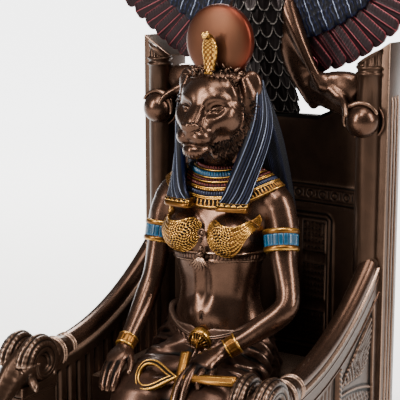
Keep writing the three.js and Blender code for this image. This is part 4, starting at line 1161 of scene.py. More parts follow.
@dataclass
class Head:
    """The lioness's head with its ruff of fur.

    Attributes:
        step: Spacing of the clay's grid.
        clay: The finished block.
    """

    step: float = 0.36
    clay: Optional[Clay] = None

    def model(self) -> Clay:
        """Models the head: skull and cheeks as ellipsoids, ridges and lids as lines, grooves carved."""
        clay = Clay((-23, -12.5, 163), (23, 33, 216.5), self.step)
        clay.egg((0, 15.6, 198), (14.6, 15.4, 12.2))
        clay.egg((0, 9, 201), (10.6, 8.6, 8.2), soft=4)
        clay.egg((0, 10.4, 183.2), (11.4, 8.4, 6.8), soft=3)
        clay.egg((7.2, 9.8, 191.4), (7.6, 8.8, 7.2), soft=3, pair=True)
        clay.worm([(0, 5.8, 202, 3.5), (0, 0.2, 196.5, 3.4), (0, -4.6, 192.2, 3.4), (0, -6.0, 190.4, 3.2)],
                  soft=2,
                  squash=(1, 0.8, 0.8))
        clay.egg((5.2, 2.4, 191.4), (3.2, 4.2, 4.4), soft=3, pair=True)
        clay.egg((0, -0.6, 186.4), (7.0, 7.6, 5.2), soft=2.5)
        clay.egg((3.4, -3.4, 185.4), (4.5, 5.0, 3.9), soft=1.3, pair=True)
        clay.egg((0, -3.4, 179.2), (4.5, 4.4, 3.3), soft=1.2)
        clay.worm([(0, -6.0, 180.0, 0.9), (3.2, -5.0, 179.8, 1.0), (5.2, -2.2, 180.4, 0.9)], soft=1.8,
                  pair=True)
        clay.worm([(0, 14, 182, 8.4), (0, 21, 172, 7.8), (0, 24, 163, 8.2)], soft=3)
        self.ridges(clay)
        self.eyes(clay)
        self.mouth(clay)
        self.ears(clay)
        clay.worm([(13.6, 14, 208, 1.2), (15.2, 14.6, 203, 2.4), (15.8, 15.6, 195, 3.2),
                   (14.8, 14.2, 188.4, 3.4),
                   (12.6, 12.6, 183, 3.2), (9.4, 8.8, 179.4, 2.8), (5.4, 5.8, 177, 2.2)], soft=2.2, pair=True)
        self.clay = clay
        return clay

    def ridges(self, clay: Clay) -> None:
        """Adds the ridges of forehead, nose, brows, cheekbones and temples."""
        clay.worm([(0, 8.6, 208, 1.1), (0, 5.7, 204.8, 1.6), (0, 2.6, 201.2, 1.3)], soft=1.2)
        clay.worm([(0.6, 4.4, 203.2, 0.6), (1.9, 1.0, 199.8, 0.8), (2.5, -2.6, 195.8, 0.9),
                   (2.6, -6.0, 192.4, 0.9),
                   (2.9, -7.7, 190.8, 0.7)], soft=0.9, pair=True)
        clay.worm([(0, -8.9, 190.4, 0.9), (2.4, -8.5, 190.5, 0.9), (3.7, -7.2, 190.3, 0.7)], soft=0.9,
                  pair=True)
        clay.worm([(2.6, 0.9, 199.6, 0.7), (3.6, 2.0, 202.2, 0.9), (4.6, 4.6, 205, 0.5)], soft=1.6, pair=True)
        clay.worm([(3.4, 1.2, 200.0, 0.7), (6.6, 2.2, 201.2, 1.2), (9.6, 4.8, 200.4, 0.7)], soft=2.6,
                  pair=True)
        clay.worm([(5.6, -1.2, 189.2, 1.3), (8.6, 1.6, 191.6, 2.3), (11.0, 5.0, 194.0, 2.4),
                   (12.2, 9.0, 197.0, 1.0)],
                  soft=3, pair=True)
        clay.worm([(9.2, 8.6, 207.2, 0.9), (10.8, 8.2, 204.6, 1.2), (12.0, 8.8, 201.8, 0.9)], soft=2.6,
                  pair=True)

    def eyes(self, clay: Clay) -> None:
        """Carves the sockets and sets in almond eyes between two lids."""
        clay.egg((6.9, -0.2, 196.6), (3.6, 2.4, 2.1), soft=2.2, carve=True, pair=True, turn=(0, -18, 28))
        clay.egg((7.0, 3.7, 195.8), (2.5, 2.5, 1.7), soft=0.4, pair=True)
        upper = [(4.4, 1.2, 194.7, 0.2), (5.6, 1.2, 196.2, 0.34), (7.4, 1.5, 197.0, 0.36),
                 (9.4, 2.9, 197.0, 0.3),
                 (11.2, 4.9, 196.9, 0.2)]
        lower = [(4.4, 1.2, 194.7, 0.2), (6, 1.3, 194.5, 0.2), (7.6, 1.6, 194.6, 0.2),
                 (9.4, 2.9, 195.5, 0.18),
                 (11.2, 4.9, 196.9, 0.18)]
        for lid in (upper, lower):
            clay.worm(lid, soft=0.4, pair=True, pieces=16)
        clay.worm([(4.8, 1.6, 197.4, 0.2), (6.6, 1.8, 198.6, 0.24), (9.0, 3.0, 198.8, 0.24),
                   (11.2, 5.2, 198.2, 0.16)],
                  soft=1.2, pair=True, pieces=12)
        clay.egg((6.9, 1.2, 195.8), (0.6, 0.6, 0.65), soft=0.2, carve=True, pair=True)

    def mouth(self, clay: Clay) -> None:
        """Adds the nose and carves nostrils, the lip line and the rows of whisker pits."""
        clay.worm([(0, -7.8, 188.9, 1.7), (2.2, -7.4, 188.9, 1.6), (3.8, -5.8, 188.6, 1.3)], soft=0.6,
                  pair=True)
        clay.egg((0, -7.7, 186.8), (1.4, 1.2, 2.0), soft=0.8)
        clay.worm([(1.4, -9.3, 187.4, 0.4), (2.7, -8.9, 187.9, 0.6), (3.9, -7.5, 188.5, 0.5),
                   (4.7, -5.8, 189.4, 0.3)],
                  soft=0.3, carve=True, pair=True)
        clay.worm([(0, -9.2, 186.6, 0.3), (0, -8.7, 184.6, 0.45), (0, -7.6, 182.8, 0.5)], soft=0.5,
                  carve=True)
        clay.worm([(0, -7.4, 182.6, 0.55), (3.4, -7.2, 181.8, 0.6), (6.2, -4.6, 182.0, 0.65),
                   (7.8, -1.6, 182.5, 0.6),
                   (8.6, 0.8, 183.2, 0.55), (8.8, 2.2, 184.6, 0.35)], soft=0.4, carve=True, pair=True,
                   pieces=20)

        def whiskers(x: Array, y: Array, z: Array) -> Array:
            """Three rows of short grooves on the pads."""
            row = np.cos(2 * np.pi * (z + 0.3 * y) / 1.7)
            fade = unit(1 - ((np.abs(x) - 5.0) / 3.2) ** 2 - ((z - 185.2) / 3) ** 2) * (y < 0.5)
            return -0.15 * unit(row) * fade

        def beard(x: Array, y: Array, z: Array) -> Array:
            """Upright strokes on the chin."""
            fade = unit((179.5 - z) / 1.5) * unit((z - 174.5) / 1.5) * (y < 3)
            return 0.2 * np.cos(2 * np.pi * (x + 0.15 * np.sin(z * 2)) / 1.3) * fade

        clay.raise_by((-10, -10, 179), (10, 1, 189), whiskers)
        clay.raise_by((-8, -10, 174), (8, 4, 181), beard)

    def ears(self, clay: Clay) -> None:
        """Adds round ears and hollows them."""
        clay.egg((14.8, 17.0, 204.8), (5.3, 3.2, 7.0), soft=1.2, pair=True, turn=(0, 10, 14))
        clay.egg((15.2, 12.9, 205.4), (3.0, 1.5, 4.4), soft=3, carve=True, pair=True, turn=(0, 10, 14))

    def fur(self) -> Shell:
        """Lays six rows of short locks along the ruff, and tufts before the ears.

        The rows follow a smooth line from ear to chin, moved in and out by a
        share of its width. Each lock points away from the middle of the face.

        Returns:
            The locks.
        """
        chance = np.random.default_rng(7)
        line = [(13.4, 12, 200.6), (15.6, 13.6, 198.4), (16.4, 14, 194), (15.4, 12.6, 188),
                (12.8, 9.8, 183.4),
                (9.2, 5.8, 179.6), (5.8, 3.8, 177.4)]
        shells = []
        for row, (inset, count) in enumerate(((0.88, 76), (0.93, 84), (0.98, 84), (1.03, 84), (1.08, 80),
                                              (1.13, 76))):
            base = spline(line[min(row // 2, 2):], count)
            spot = base * (inset, 1, 1) + (0, 0.9 * row, 0) + chance.normal(0, 0.4, base.shape)
            away = spot - np.array([0, 9, 192])
            away /= np.linalg.norm(away, axis=1, keepdims=True)
            root = self.clay.cast(spot + 7 * away + np.array([0, -3.0, 0]), -away) - 0.25 * away
            normal = self.clay.normal(root)
            way = away + np.array([0, 0.35, -0.8])
            way = way - (way * normal).sum(1)[:, None] * normal
            way = way / np.linalg.norm(way, axis=1, keepdims=True) + 0.3 * normal
            shells.append(locks(root, way, chance.normal(0, 0.45, root.shape) - 0.35 * normal,
                                chance.uniform(1.7, 3.0, count), chance.uniform(0.32, 0.5, count)))
        tuft = spline([(8.6, 11, 209.4), (10.2, 10.0, 206), (11.8, 9.8, 201.6)], 18) + chance.normal(0, 0.3, (18, 3))
        way = np.tile([0.6, 0.0, 0.6], (18, 1)) + chance.normal(0, 0.2, (18, 3))
        shells.append(locks(tuft, way, chance.normal(0, 0.4, (18, 3)), chance.uniform(1.4, 2.2, 18),
                            np.full(18, 0.5)))
        fur = both(merged(shells))
        # The relief mark is lowered, most at the roots: the locks darken towards their roots as wash and painted
        # shade between them
        return fur.marked("lift", 0.9 * fur.marks["tip"] - 1.2)

    def build(self) -> None:
        """Builds the head and its fur."""
        self.model()
        piece("head", self.clay.shell(), BRONZE_SKIN, Look.BRONZE, "goddess", rounds=18, reach=0.8)
        piece("ruff", self.fur(), BRONZE_SKIN, Look.BRONZE, "goddess", rounds=2, reach=0.3)


@dataclass
class Wig:
    """The striped wig: a hood down the back and a lappet over each shoulder.

    Attributes:
        hood: Height, middle, half width, front and back of the hood's sections.
        strands: Strands round the hood.
        lappet: Stations of a lappet: across, back, up and half width.
        thickness: Half thickness of a lappet.
        lappet_strands: Strands across a lappet.
    """

    hood: tuple = ((135, 6, 6, 4.6, 6), (132, 6, 10.4, 7, 9), (124, 7, 14.8, 8.4, 13),
                   (110, 9, 20.0, 8.6, 14.4),
                   (96, 10.4, 23.4, 7.8, 14.8), (80, 14, 25.6, 5.6, 12), (69.6, 17, 26.4, 3.8, 8.6),
                   (68.8, 17, 25.4, 3, 7.6))
    strands: int = 104
    lappet: tuple = ((15.5, 0, 131, 5), (18.6, -2.8, 112, 6.6), (15.2, -12.4, 88, 6), (13.2, -15.2, 80, 6.4))
    thickness: float = 2.3
    lappet_strands: int = 9

    def hood_shell(self) -> Shell:
        """Works out the hood: level ellipses whose radius waves with the strands."""
        rows, columns = 96, 8 * self.strands
        table = spline(self.hood, rows)
        turn = 2 * np.pi * np.arange(columns) / columns
        share = shares(rows)
        phase = self.strands * turn[None] / 2 + 1.1 * np.sin(3 * turn[None] + 4 * share)
        wave = np.abs(np.cos(phase)) ** 0.6
        lock = np.cos(phase / 4 + 1.5 * np.sin(2 * share))
        swell = 0.7 * wave + 0.25 * lock - 0.65
        bend = np.sin(turn)[None]
        reach = np.where(bend < 0, table[:, 3:4], table[:, 4:5])
        soften = lambda v: np.sign(v) * np.abs(v) ** (2 / 2.4)
        x = (table[:, 2:3] + swell) * soften(np.cos(turn))[None]
        y = HIP + table[:, 1:2] + (reach + swell) * soften(bend)
        z = np.broadcast_to(SEAT + table[:, :1], x.shape)
        silver = unit((wave - 0.9) * 8) * unit(0.9 * lock + 0.2 * np.sin(7 * turn[None] + 5 * share))
        # The lift mark rubs some strands silver and darkens the grooves between strands, as wash and painted shade
        return lattice(np.stack([x, y, z], -1), marks={"lift": 1.0 * silver - 0.8 * (1 - wave) - 0.7})

    def lappet_frame(self, share: Array) -> tuple[Array, Array, Array, Array]:
        """Returns middle, across, outward and half width at shares of the way down a lappet."""
        table = spline(figure(self.lappet), 200)
        at = np.linspace(0, 1, 200)
        row = np.stack([np.interp(share, at, table[:, k]) for k in range(4)], 1)
        turn = (1.15 + (0.12 - 1.15) * share) * np.pi / 2
        across = np.stack([np.cos(turn), np.sin(turn), 0 * turn], 1)
        outward = np.stack([np.sin(turn), -np.cos(turn), 0 * turn], 1)
        return row[:, :3], across, outward, row[:, 3]

    def lappet_shell(self, low: float, high: float, rows: int, raised: Pattern,
                     mark: Pattern, grow: float = 0.0) -> Shell:
        """Works out a stretch of a lappet as squared-off ellipses along it.

        Args:
            low: Where it starts, as a share of the way down. Above 1 it goes on straight.
            high: Where it ends.
            rows: Rows along it.
            raised: Lift of the outer face, from the share across (-1 to 1) and down (0 to 1).
            mark: Mark of rubbing, from the same shares.
            grow: How much bigger it is all round.

        Returns:
            The stretch on the +X side.
        """
        share = np.linspace(low, high, rows)
        middle, across, outward, half = self.lappet_frame(np.minimum(share, 1))
        past = np.maximum(share - 1, 0)[:, None]
        middle = middle + past * np.array([-8.0, -8.0, -55.0])
        dense = circle(1200, 3.4)
        dense = np.concatenate([dense, dense[:1]])
        run = np.cumsum(np.linalg.norm(np.diff(dense, axis=0) * (half.mean(), self.thickness), axis=1))
        run = np.concatenate([[0], run]) / run[-1]
        at = np.linspace(0, 1, 150, endpoint=False)
        section = np.stack([np.interp(at, run, dense[:, k]) for k in range(2)], 1)
        side = section[None, :, 0]
        face = section[None, :, 1]
        down = ((share - low) / (high - low))[:, None]
        lift = raised(side, down) * unit(face * 3)
        ease = np.ones((rows, 1))
        ease[0], ease[-1] = 0.9, 0.9
        points = middle[:, None] + across[:, None] * ((half[:, None] + grow) * side * ease)[..., None] \
            + outward[:, None] * (((self.thickness + grow) * face) * ease + lift)[..., None]
        return lattice(points, marks={"lift": mark(side, down) * (face > 0.1)})

    def build(self) -> None:
        """Builds the hood, the lappets and their gold hems."""
        def strands(side: Array, down: Array) -> Array:
            """Strands along a lappet, with a fine line on each."""
            phase = self.lappet_strands * (side + 1) / 2
            return 0.75 * np.abs(np.sin(np.pi * phase)) ** 0.6 - 0.35 + 0.1 * np.cos(8 * np.pi * phase)

        def silver(side: Array, down: Array) -> Array:
            """Some strands are rubbed silver, the others stay dark, darkest in the grooves as wash and painted shade.
            """
            phase = self.lappet_strands * (side + 1) / 2
            share = unit(0.5 + 0.9 * np.sin(2.4 * np.floor(phase) + 1.2))
            wave = np.abs(np.sin(np.pi * phase))
            return 1.2 * share * unit((wave - 0.75) * 5) - 0.6 * (1 - wave) - 0.5

        def triangle(side: Array, down: Array) -> Array:
            """A row of triangles that point up."""
            saw = np.abs(((side * 2.6) % 1) - 0.5) * 2
            return unit(((down - 0.1) / 0.45 - saw) * 5) * (down > 0.1) * (down < 0.58)

        def fringe(side: Array, down: Array) -> Array:
            """A line, a row of triangles and a rounded rim."""
            line = 0.4 * bell(down, 0.05, 0.04)
            rim = 1.0 * np.sqrt(unit(1 - ((down - 0.8) / 0.2) ** 2))
            return line + 0.5 * triangle(side, down) + rim

        def gilding(side: Array, down: Array) -> Array:
            """Triangles and rim are bright, the sunk ground between them is dark brown, as wash and painted shade."""
            ground = (down > 0.08) * (down < 0.62)
            return 0.4 * triangle(side, down) - 0.9 * ground * (1
                                                                - triangle(side, down)) - 0.25 * (down > 0.62)

        piece("wig_hood", self.hood_shell(), NAVY_RUBBED_AND_HIGHLIGHTED, Look.NAVY, "goddess", rounds=6, reach=0.3)
        piece("wig_lappets", both(self.lappet_shell(0, 0.985, 90, strands, silver)), NAVY_RUBBED_AND_HIGHLIGHTED, Look.NAVY,
              "goddess",
              rounds=6, reach=0.3)
        piece("lappet_hems", both(self.lappet_shell(0.95, 1.05, 44, fringe, gilding, 0.5)), GOLD_RUBBED_AND_HIGHLIGHTED,
              Look.GOLD, "goddess",
              rounds=6, reach=0.25)


@dataclass
class Collar:
    """The broad collar in rings of beads over the shoulders.

    Attributes:
        rows: Half width, depth, height at the sides and in front, from neck to border.
        middle: The rings' middle from the figure's, to the back.
        columns: Points round a ring.
    """

    rows: tuple = ((9.2, 9.4, 95.5, 95.5), (15.8, 11.2, 93.6, 90.4), (22.4, 13.5, 91, 84.8),
                   (28.2, 14.9, 87.0, 77.4))
    middle: float = 0.6
    columns: int = 360

    def point(self, turn: Array, share: Array, lift: Array) -> Array:
        """Returns points on the collar: turn round the neck, share from neck to border, lift off it."""
        table, at = spline(self.rows, 100), np.linspace(0, 1, 100)
        half, depth, side, front = (np.interp(share, at, table[:, k]) for k in range(4))
        drop = np.cos(turn) ** 2
        x = (half + 0.75 * lift) * np.sin(turn)
        y = HIP + self.middle - (depth + 0.75 * lift) * np.cos(turn)
        return np.stack([x, y, SEAT + side + (front - side) * drop + 0.66 * lift], -1)

    def ring(self, low: float, high: float, rows: int, lift: Pattern) -> Shell:
        """Works out a closed ring of the collar.

        Args:
            low: Its inner edge, as a share from neck to border.
            high: Its outer edge.
            rows: Rows across its face.
            lift: Height of the face, from the turn and the share across (0 to 1).

        Returns:
            The ring.
        """
        turn = turns(self.columns)
        across = shares(rows)
        face = self.point(*np.broadcast_arrays(turn, low + (high - low) * across, lift(turn, across)))
        under = self.point(*np.broadcast_arrays(turn, np.array([[high], [low]]), np.array([[-1.6], [-1.6]])))
        grid = np.concatenate([face, under])
        mark = np.zeros(grid.shape[:2])
        # Beads and lines lighter, the gaps between them darker: rubbed wear and painted highlight on top, wash and
        # painted shade between
        mark[:rows] = 2.0 * lift(turn, across) - 1.25
        return looped(grid).marked("lift", mark)

    def build(self) -> None:
        """Builds the rings: beads, gold lines, a garnet row, a navy row and the border."""
        def beads(count: int, height: float) -> Pattern:
            """Returns a row of upright beads."""
            return lambda turn, across: 0.15 + height * np.abs(np.sin(count * turn / 2)) ** 0.5 \
                * unit(4 * across * (1 - across)) ** 0.5

        def line(turn: Array, across: Array) -> Array:
            """A plain half-round line."""
            return 0.3 + 0.55 * np.sqrt(unit(4 * across * (1 - across)))

        def drops(turn: Array, across: Array) -> Array:
            """Two lines with hanging drops between them."""
            edge = bell(across, 0.08, 0.07) + bell(across, 0.92, 0.07)
            saw = np.abs(((turn * 84 / (2 * np.pi)) % 1) - 0.5) * 2
            drop = unit((0.25 + 0.75 * across - saw) * 4) * (across > 0.14) * (across < 0.86)
            return 0.1 + 0.6 * np.maximum(edge, 0.8 * drop)

        piece("collar_turquoise", self.ring(0.22, 0.36, 8, beads(76, 0.9)), TURQUOISE_PAINT, Look.TURQUOISE,
              "goddess", rounds=3, reach=0.25)
        gold = [self.ring(a, b, 5, line) for a, b in ((0.18, 0.21), (0.37, 0.4), (0.48, 0.51), (0.62, 0.65),
                                                      (0.8, 0.83))]
        gold.append(self.ring(0.83, 1.0, 18, drops))
        gold.append(self.ring(0.65, 0.69, 6, beads(130, 0.7)))
        piece("collar_gold", merged(gold), GOLD_RUBBED_AND_HIGHLIGHTED, Look.GOLD, "goddess", rounds=4, reach=0.25)
        garnet = [self.ring(a, b, 7, beads(count, 0.8)) for a, b,
                  count in ((0.06, 0.17, 60), (0.41, 0.47, 90), (0.52, 0.61, 96))]
        piece("collar_garnet", merged(garnet), GARNET_PAINT, Look.MAROON, "goddess", rounds=3, reach=0.25)
        piece("collar_navy", self.ring(0.7, 0.79, 8, beads(120, 0.55)), NAVY_RUBBED_AND_HIGHLIGHTED, Look.NAVY, "goddess",
              rounds=3, reach=0.3)


@dataclass
class Crown:
    """The sun disc with its cobra, and the tufted hair round its foot.

    Attributes:
        centre: Middle of the disc.
        radius: Its radius.
        half: Half its thickness.
    """

    centre: tuple = (0, 17.4, 223.4)
    radius: float = 15.7
    half: float = 4.5

    def disc(self) -> Shell:
        """Turns a lens with a narrow rim about its axis, which runs from front to back."""
        bow = np.linspace(0, 1, 22)
        face = [(self.radius * s, 1.2 + (self.half - 1.2) * math.sqrt(max(0, 1 - s**2.2))) for s in 0.02
                + 0.975 * bow]
        rim = [(self.radius, 0.7), (self.radius, -0.7)]
        back = [(r, -h) for r, h in reversed(face)]
        shell = turned([*face, *rim, *back], self.centre, (0, -1, 0), sides=112)
        away = np.linalg.norm((shell.points - self.centre)[:, (0, 2)], axis=1) / self.radius
        side = unit((shell.points[:, 0] + 4) / 12)
        return shell.marked("rim", unit((away - 0.72) / 0.28) ** 1.5 * (0.35 + 0.55 * side))

    def cobra(self) -> Shell:
        """Works out the cobra: a flat hood on a neck, with grooves on its front, and a head bent forward."""
        rows = figure([(0, -12.0, 130.5, 2.3, 1.9), (0, -12.2, 134, 2.2, 1.7), (0, -11.9, 138.6, 2.7, 1.6),
                       (0, -12, 143.4, 3.5, 1.5), (0, -12.4, 146.8, 3.1, 1.5), (0, -13.4, 149.2, 1.9, 1.5),
                       (0, -15.4, 149.9, 1.6, 1.2), (0, -16.9, 149.7, 0.9, 0.8)])
        table = spline(rows, 70)
        sides = 40
        section = circle(sides, 2.3)
        share = shares(70)
        curl = np.cos(2 * np.pi * share * 13) * np.cos(2 * np.pi * section[None, :, 0] * 1.5)
        border = bell(np.abs(section[None, :, 0]), 0.78, 0.12)
        hood = unit(share * 8 - 0.4) * unit((0.8 - share) * 12)
        lift = hood * (0.14 * curl + 0.22 * border)
        side, rise = frames(table[:, :3])[1:]
        points = table[:, None, :3] + side[:, None] * (section[:, 0] * table[:, 3:4])[..., None] \
            + rise[:, None] * (section[:, 1] * table[:, 4:5] + np.sign(section[:, 1]) * lift)[..., None]
        crest = [globe(p, (0.8, 0.8, 0.9), 8, 6) for p in ((-0.9, 5.2, 226.9), (0.9, 5.2, 226.9),
                                                           (0, 6.6, 227.3))]
        return merged([lattice(points), *crest])

    def hair(self) -> Shell:
        """Lays tufts in rings over a low cushion round the foot of the disc."""
        chance = np.random.default_rng(11)
        cushion = globe((0, 17, 208.3), (13, 11, 4.6), 40, 16)
        turn = np.concatenate([np.linspace(0, 2 * np.pi, n, endpoint=False) + k for k,
                               n in enumerate((34, 30, 24))])
        ring = np.repeat([1.0, 0.82, 0.6], (34, 30, 24))[:, None]
        out = np.stack([np.cos(turn), np.sin(turn), 0 * turn], 1)
        root = np.array([0, 17, 208.6]) + out * ring * (12.4, 10.4, 0) + (0, 0, 1) * np.sqrt(1.02 - ring**2) * 4.2
        root += chance.normal(0, 0.3, root.shape)
        way = out * 0.8 + (0, 0, 0.4) + chance.normal(0, 0.3, root.shape)
        tufts = locks(root, way, chance.normal(0, 0.7, root.shape), chance.uniform(1.5, 2.6, len(root)),
                      chance.uniform(0.6, 0.9, len(root)))
        hair = merged([cushion, tufts])
        # The relief mark is lowered on the cushion and at the tufts' roots, as wash and painted shade, and raised at
        # their tips, as rubbed wear and painted highlight
        return hair.marked("lift", 1.2 * hair.marks["tip"] - 0.8)

    def build(self) -> None:
        """Builds the disc, the cobra and the hair."""
        piece("sun_disc", self.disc(), COPPER_BRUSHED, Look.COPPER, "goddess", rounds=2, reach=1.0)
        piece("cobra", self.cobra(), GOLD_RUBBED_AND_HIGHLIGHTED, Look.GOLD, "goddess", rounds=8, reach=0.16)
        piece("crown_hair", self.hair(), BRONZE_SKIN, Look.BRONZE, "goddess", rounds=2, reach=0.3)


@dataclass
class Ankh:
    """The ankh under the left hand: a flat loop, a cross bar and a shaft.

    Attributes:
        crossing: Where the bars meet.
        bar: Width of the bars.
        thickness: Thickness of the whole.
        loop: Length of the loop.
        loop_half: Half its width.
        shaft: Length of the shaft.
        arm: Length of a cross arm.
    """

    crossing: tuple = (4.4, -22.6, 87.6)
    bar: float = 3.4
    thickness: float = 2.4
    loop: float = 20.6
    loop_half: float = 6.4
    shaft: float = 27.0
    arm: float = 11.4

    def to(self, flat: Array, height: Array | float) -> Array:
        """Turns points along shaft and arm, with a height, into points in space."""
        shaft = np.array([1, 0, 0.1]) / math.hypot(1, 0.1)
        arm = np.array([-0.08, 0.6, 0.8])
        arm /= np.linalg.norm(arm)
        face = -np.cross(shaft, arm)
        tall = np.broadcast_to(np.asarray(height, float), flat.shape[:-1])[..., None]
        return np.array(self.crossing) + flat[..., :1] * shaft + flat[..., 1:] * arm - tall * face

    @staticmethod
    def drop(length: float, half: float, count: int) -> Array:
        """Returns the outline of the loop, a drop made of four Bezier curves, count points once round."""
        ends = [((0, 0), (-0.3, 0.4), (-0.42, 1), (-0.68, 1)), ((-0.68, 1), (-1, 1), (-1, -1), (-0.68, -1)),
                ((-0.68, -1), (-0.42, -1), (-0.3, -0.4), (0, 0))]
        t = shares(200)
        line = np.concatenate([
            (1 - t) ** 3 * np.array(a) + 3 * t * (1 - t) ** 2 * np.array(b) + 3 * t**2 * (1 - t) * np.array(c)
            + t**3 * np.array(d) for a, b, c, d in ends]) * (length, half)
        run = np.concatenate([[0], np.cumsum(np.linalg.norm(np.diff(line, axis=0), axis=1))])
        at = np.linspace(0, run[-1], count, endpoint=False)
        return np.stack([np.interp(at, run, line[:, k]) for k in range(2)], 1)

    def shell(self) -> Shell:
        """Works out the loop as a grooved ring between two drops, and the bars as bevelled plates."""
        count = 110
        outer = self.drop(1.12 * self.loop, 1.08 * self.loop_half, count)
        inner = self.drop(1.12 * self.loop - 2.2 * self.bar, 1.08 * self.loop_half - 0.72 * self.bar, count)
        inner = inner - (1.5 * self.bar, 0)
        half = self.thickness / 2
        profile = [(0, 0), (0.02, 0.8), (0.12, 1.15), (0.26, 1.15), (0.36, 0.75), (0.64, 0.75), (0.74, 1.15),
                   (0.88, 1.15), (0.98, 0.8), (1, 0)]
        profile += [(t, -h) for t, h in reversed(profile[1:-1])]
        rows = np.stack([self.to(inner + t * (outer - inner), h * half) for t, h in profile])
        # The ring's middle groove is darkened as wash and painted shade
        ring = looped(rows).marked("lift", np.repeat([0.2 - 1.3 * (0.3 < t < 0.7) for t, _ in profile],
                                                     count))
        b, a, s = self.bar / 2, self.arm, self.shaft
        bevel = [(-0.5, -1.05 * half), (0, -0.6 * half), (0, 0.6 * half), (-0.5, 1.05 * half)]
        shaft = np.array([(-b, -b), (s, -1.3 * b), (s, 1.3 * b), (-b, b)])
        arms = np.array([(-b, -a), (b, -a), (b, -b), (b, b), (1.3 * b, a), (-1.3 * b, a), (-b, b), (-b, -b)])
        # The bars' sunk faces are darkened between their raised rims, as wash and painted shade
        bars = [prism(outline, bevel, self.to).marked("lift", -0.75) for outline in (shaft, arms)]
        rims = [(-1.0, 1.06 * half), (-1.0, 1.3 * half), (-1.4, 1.3 * half)]
        bars += [prism(shaft, rims, self.to), prism(arms, rims, self.to)]
        return merged([ring, *bars])

    def build(self) -> None:
        """Builds the ankh."""
        piece("ankh", self.shell(), GOLD_RUBBED_AND_HIGHLIGHTED, Look.GOLD, "goddess", rounds=3, reach=0.3)


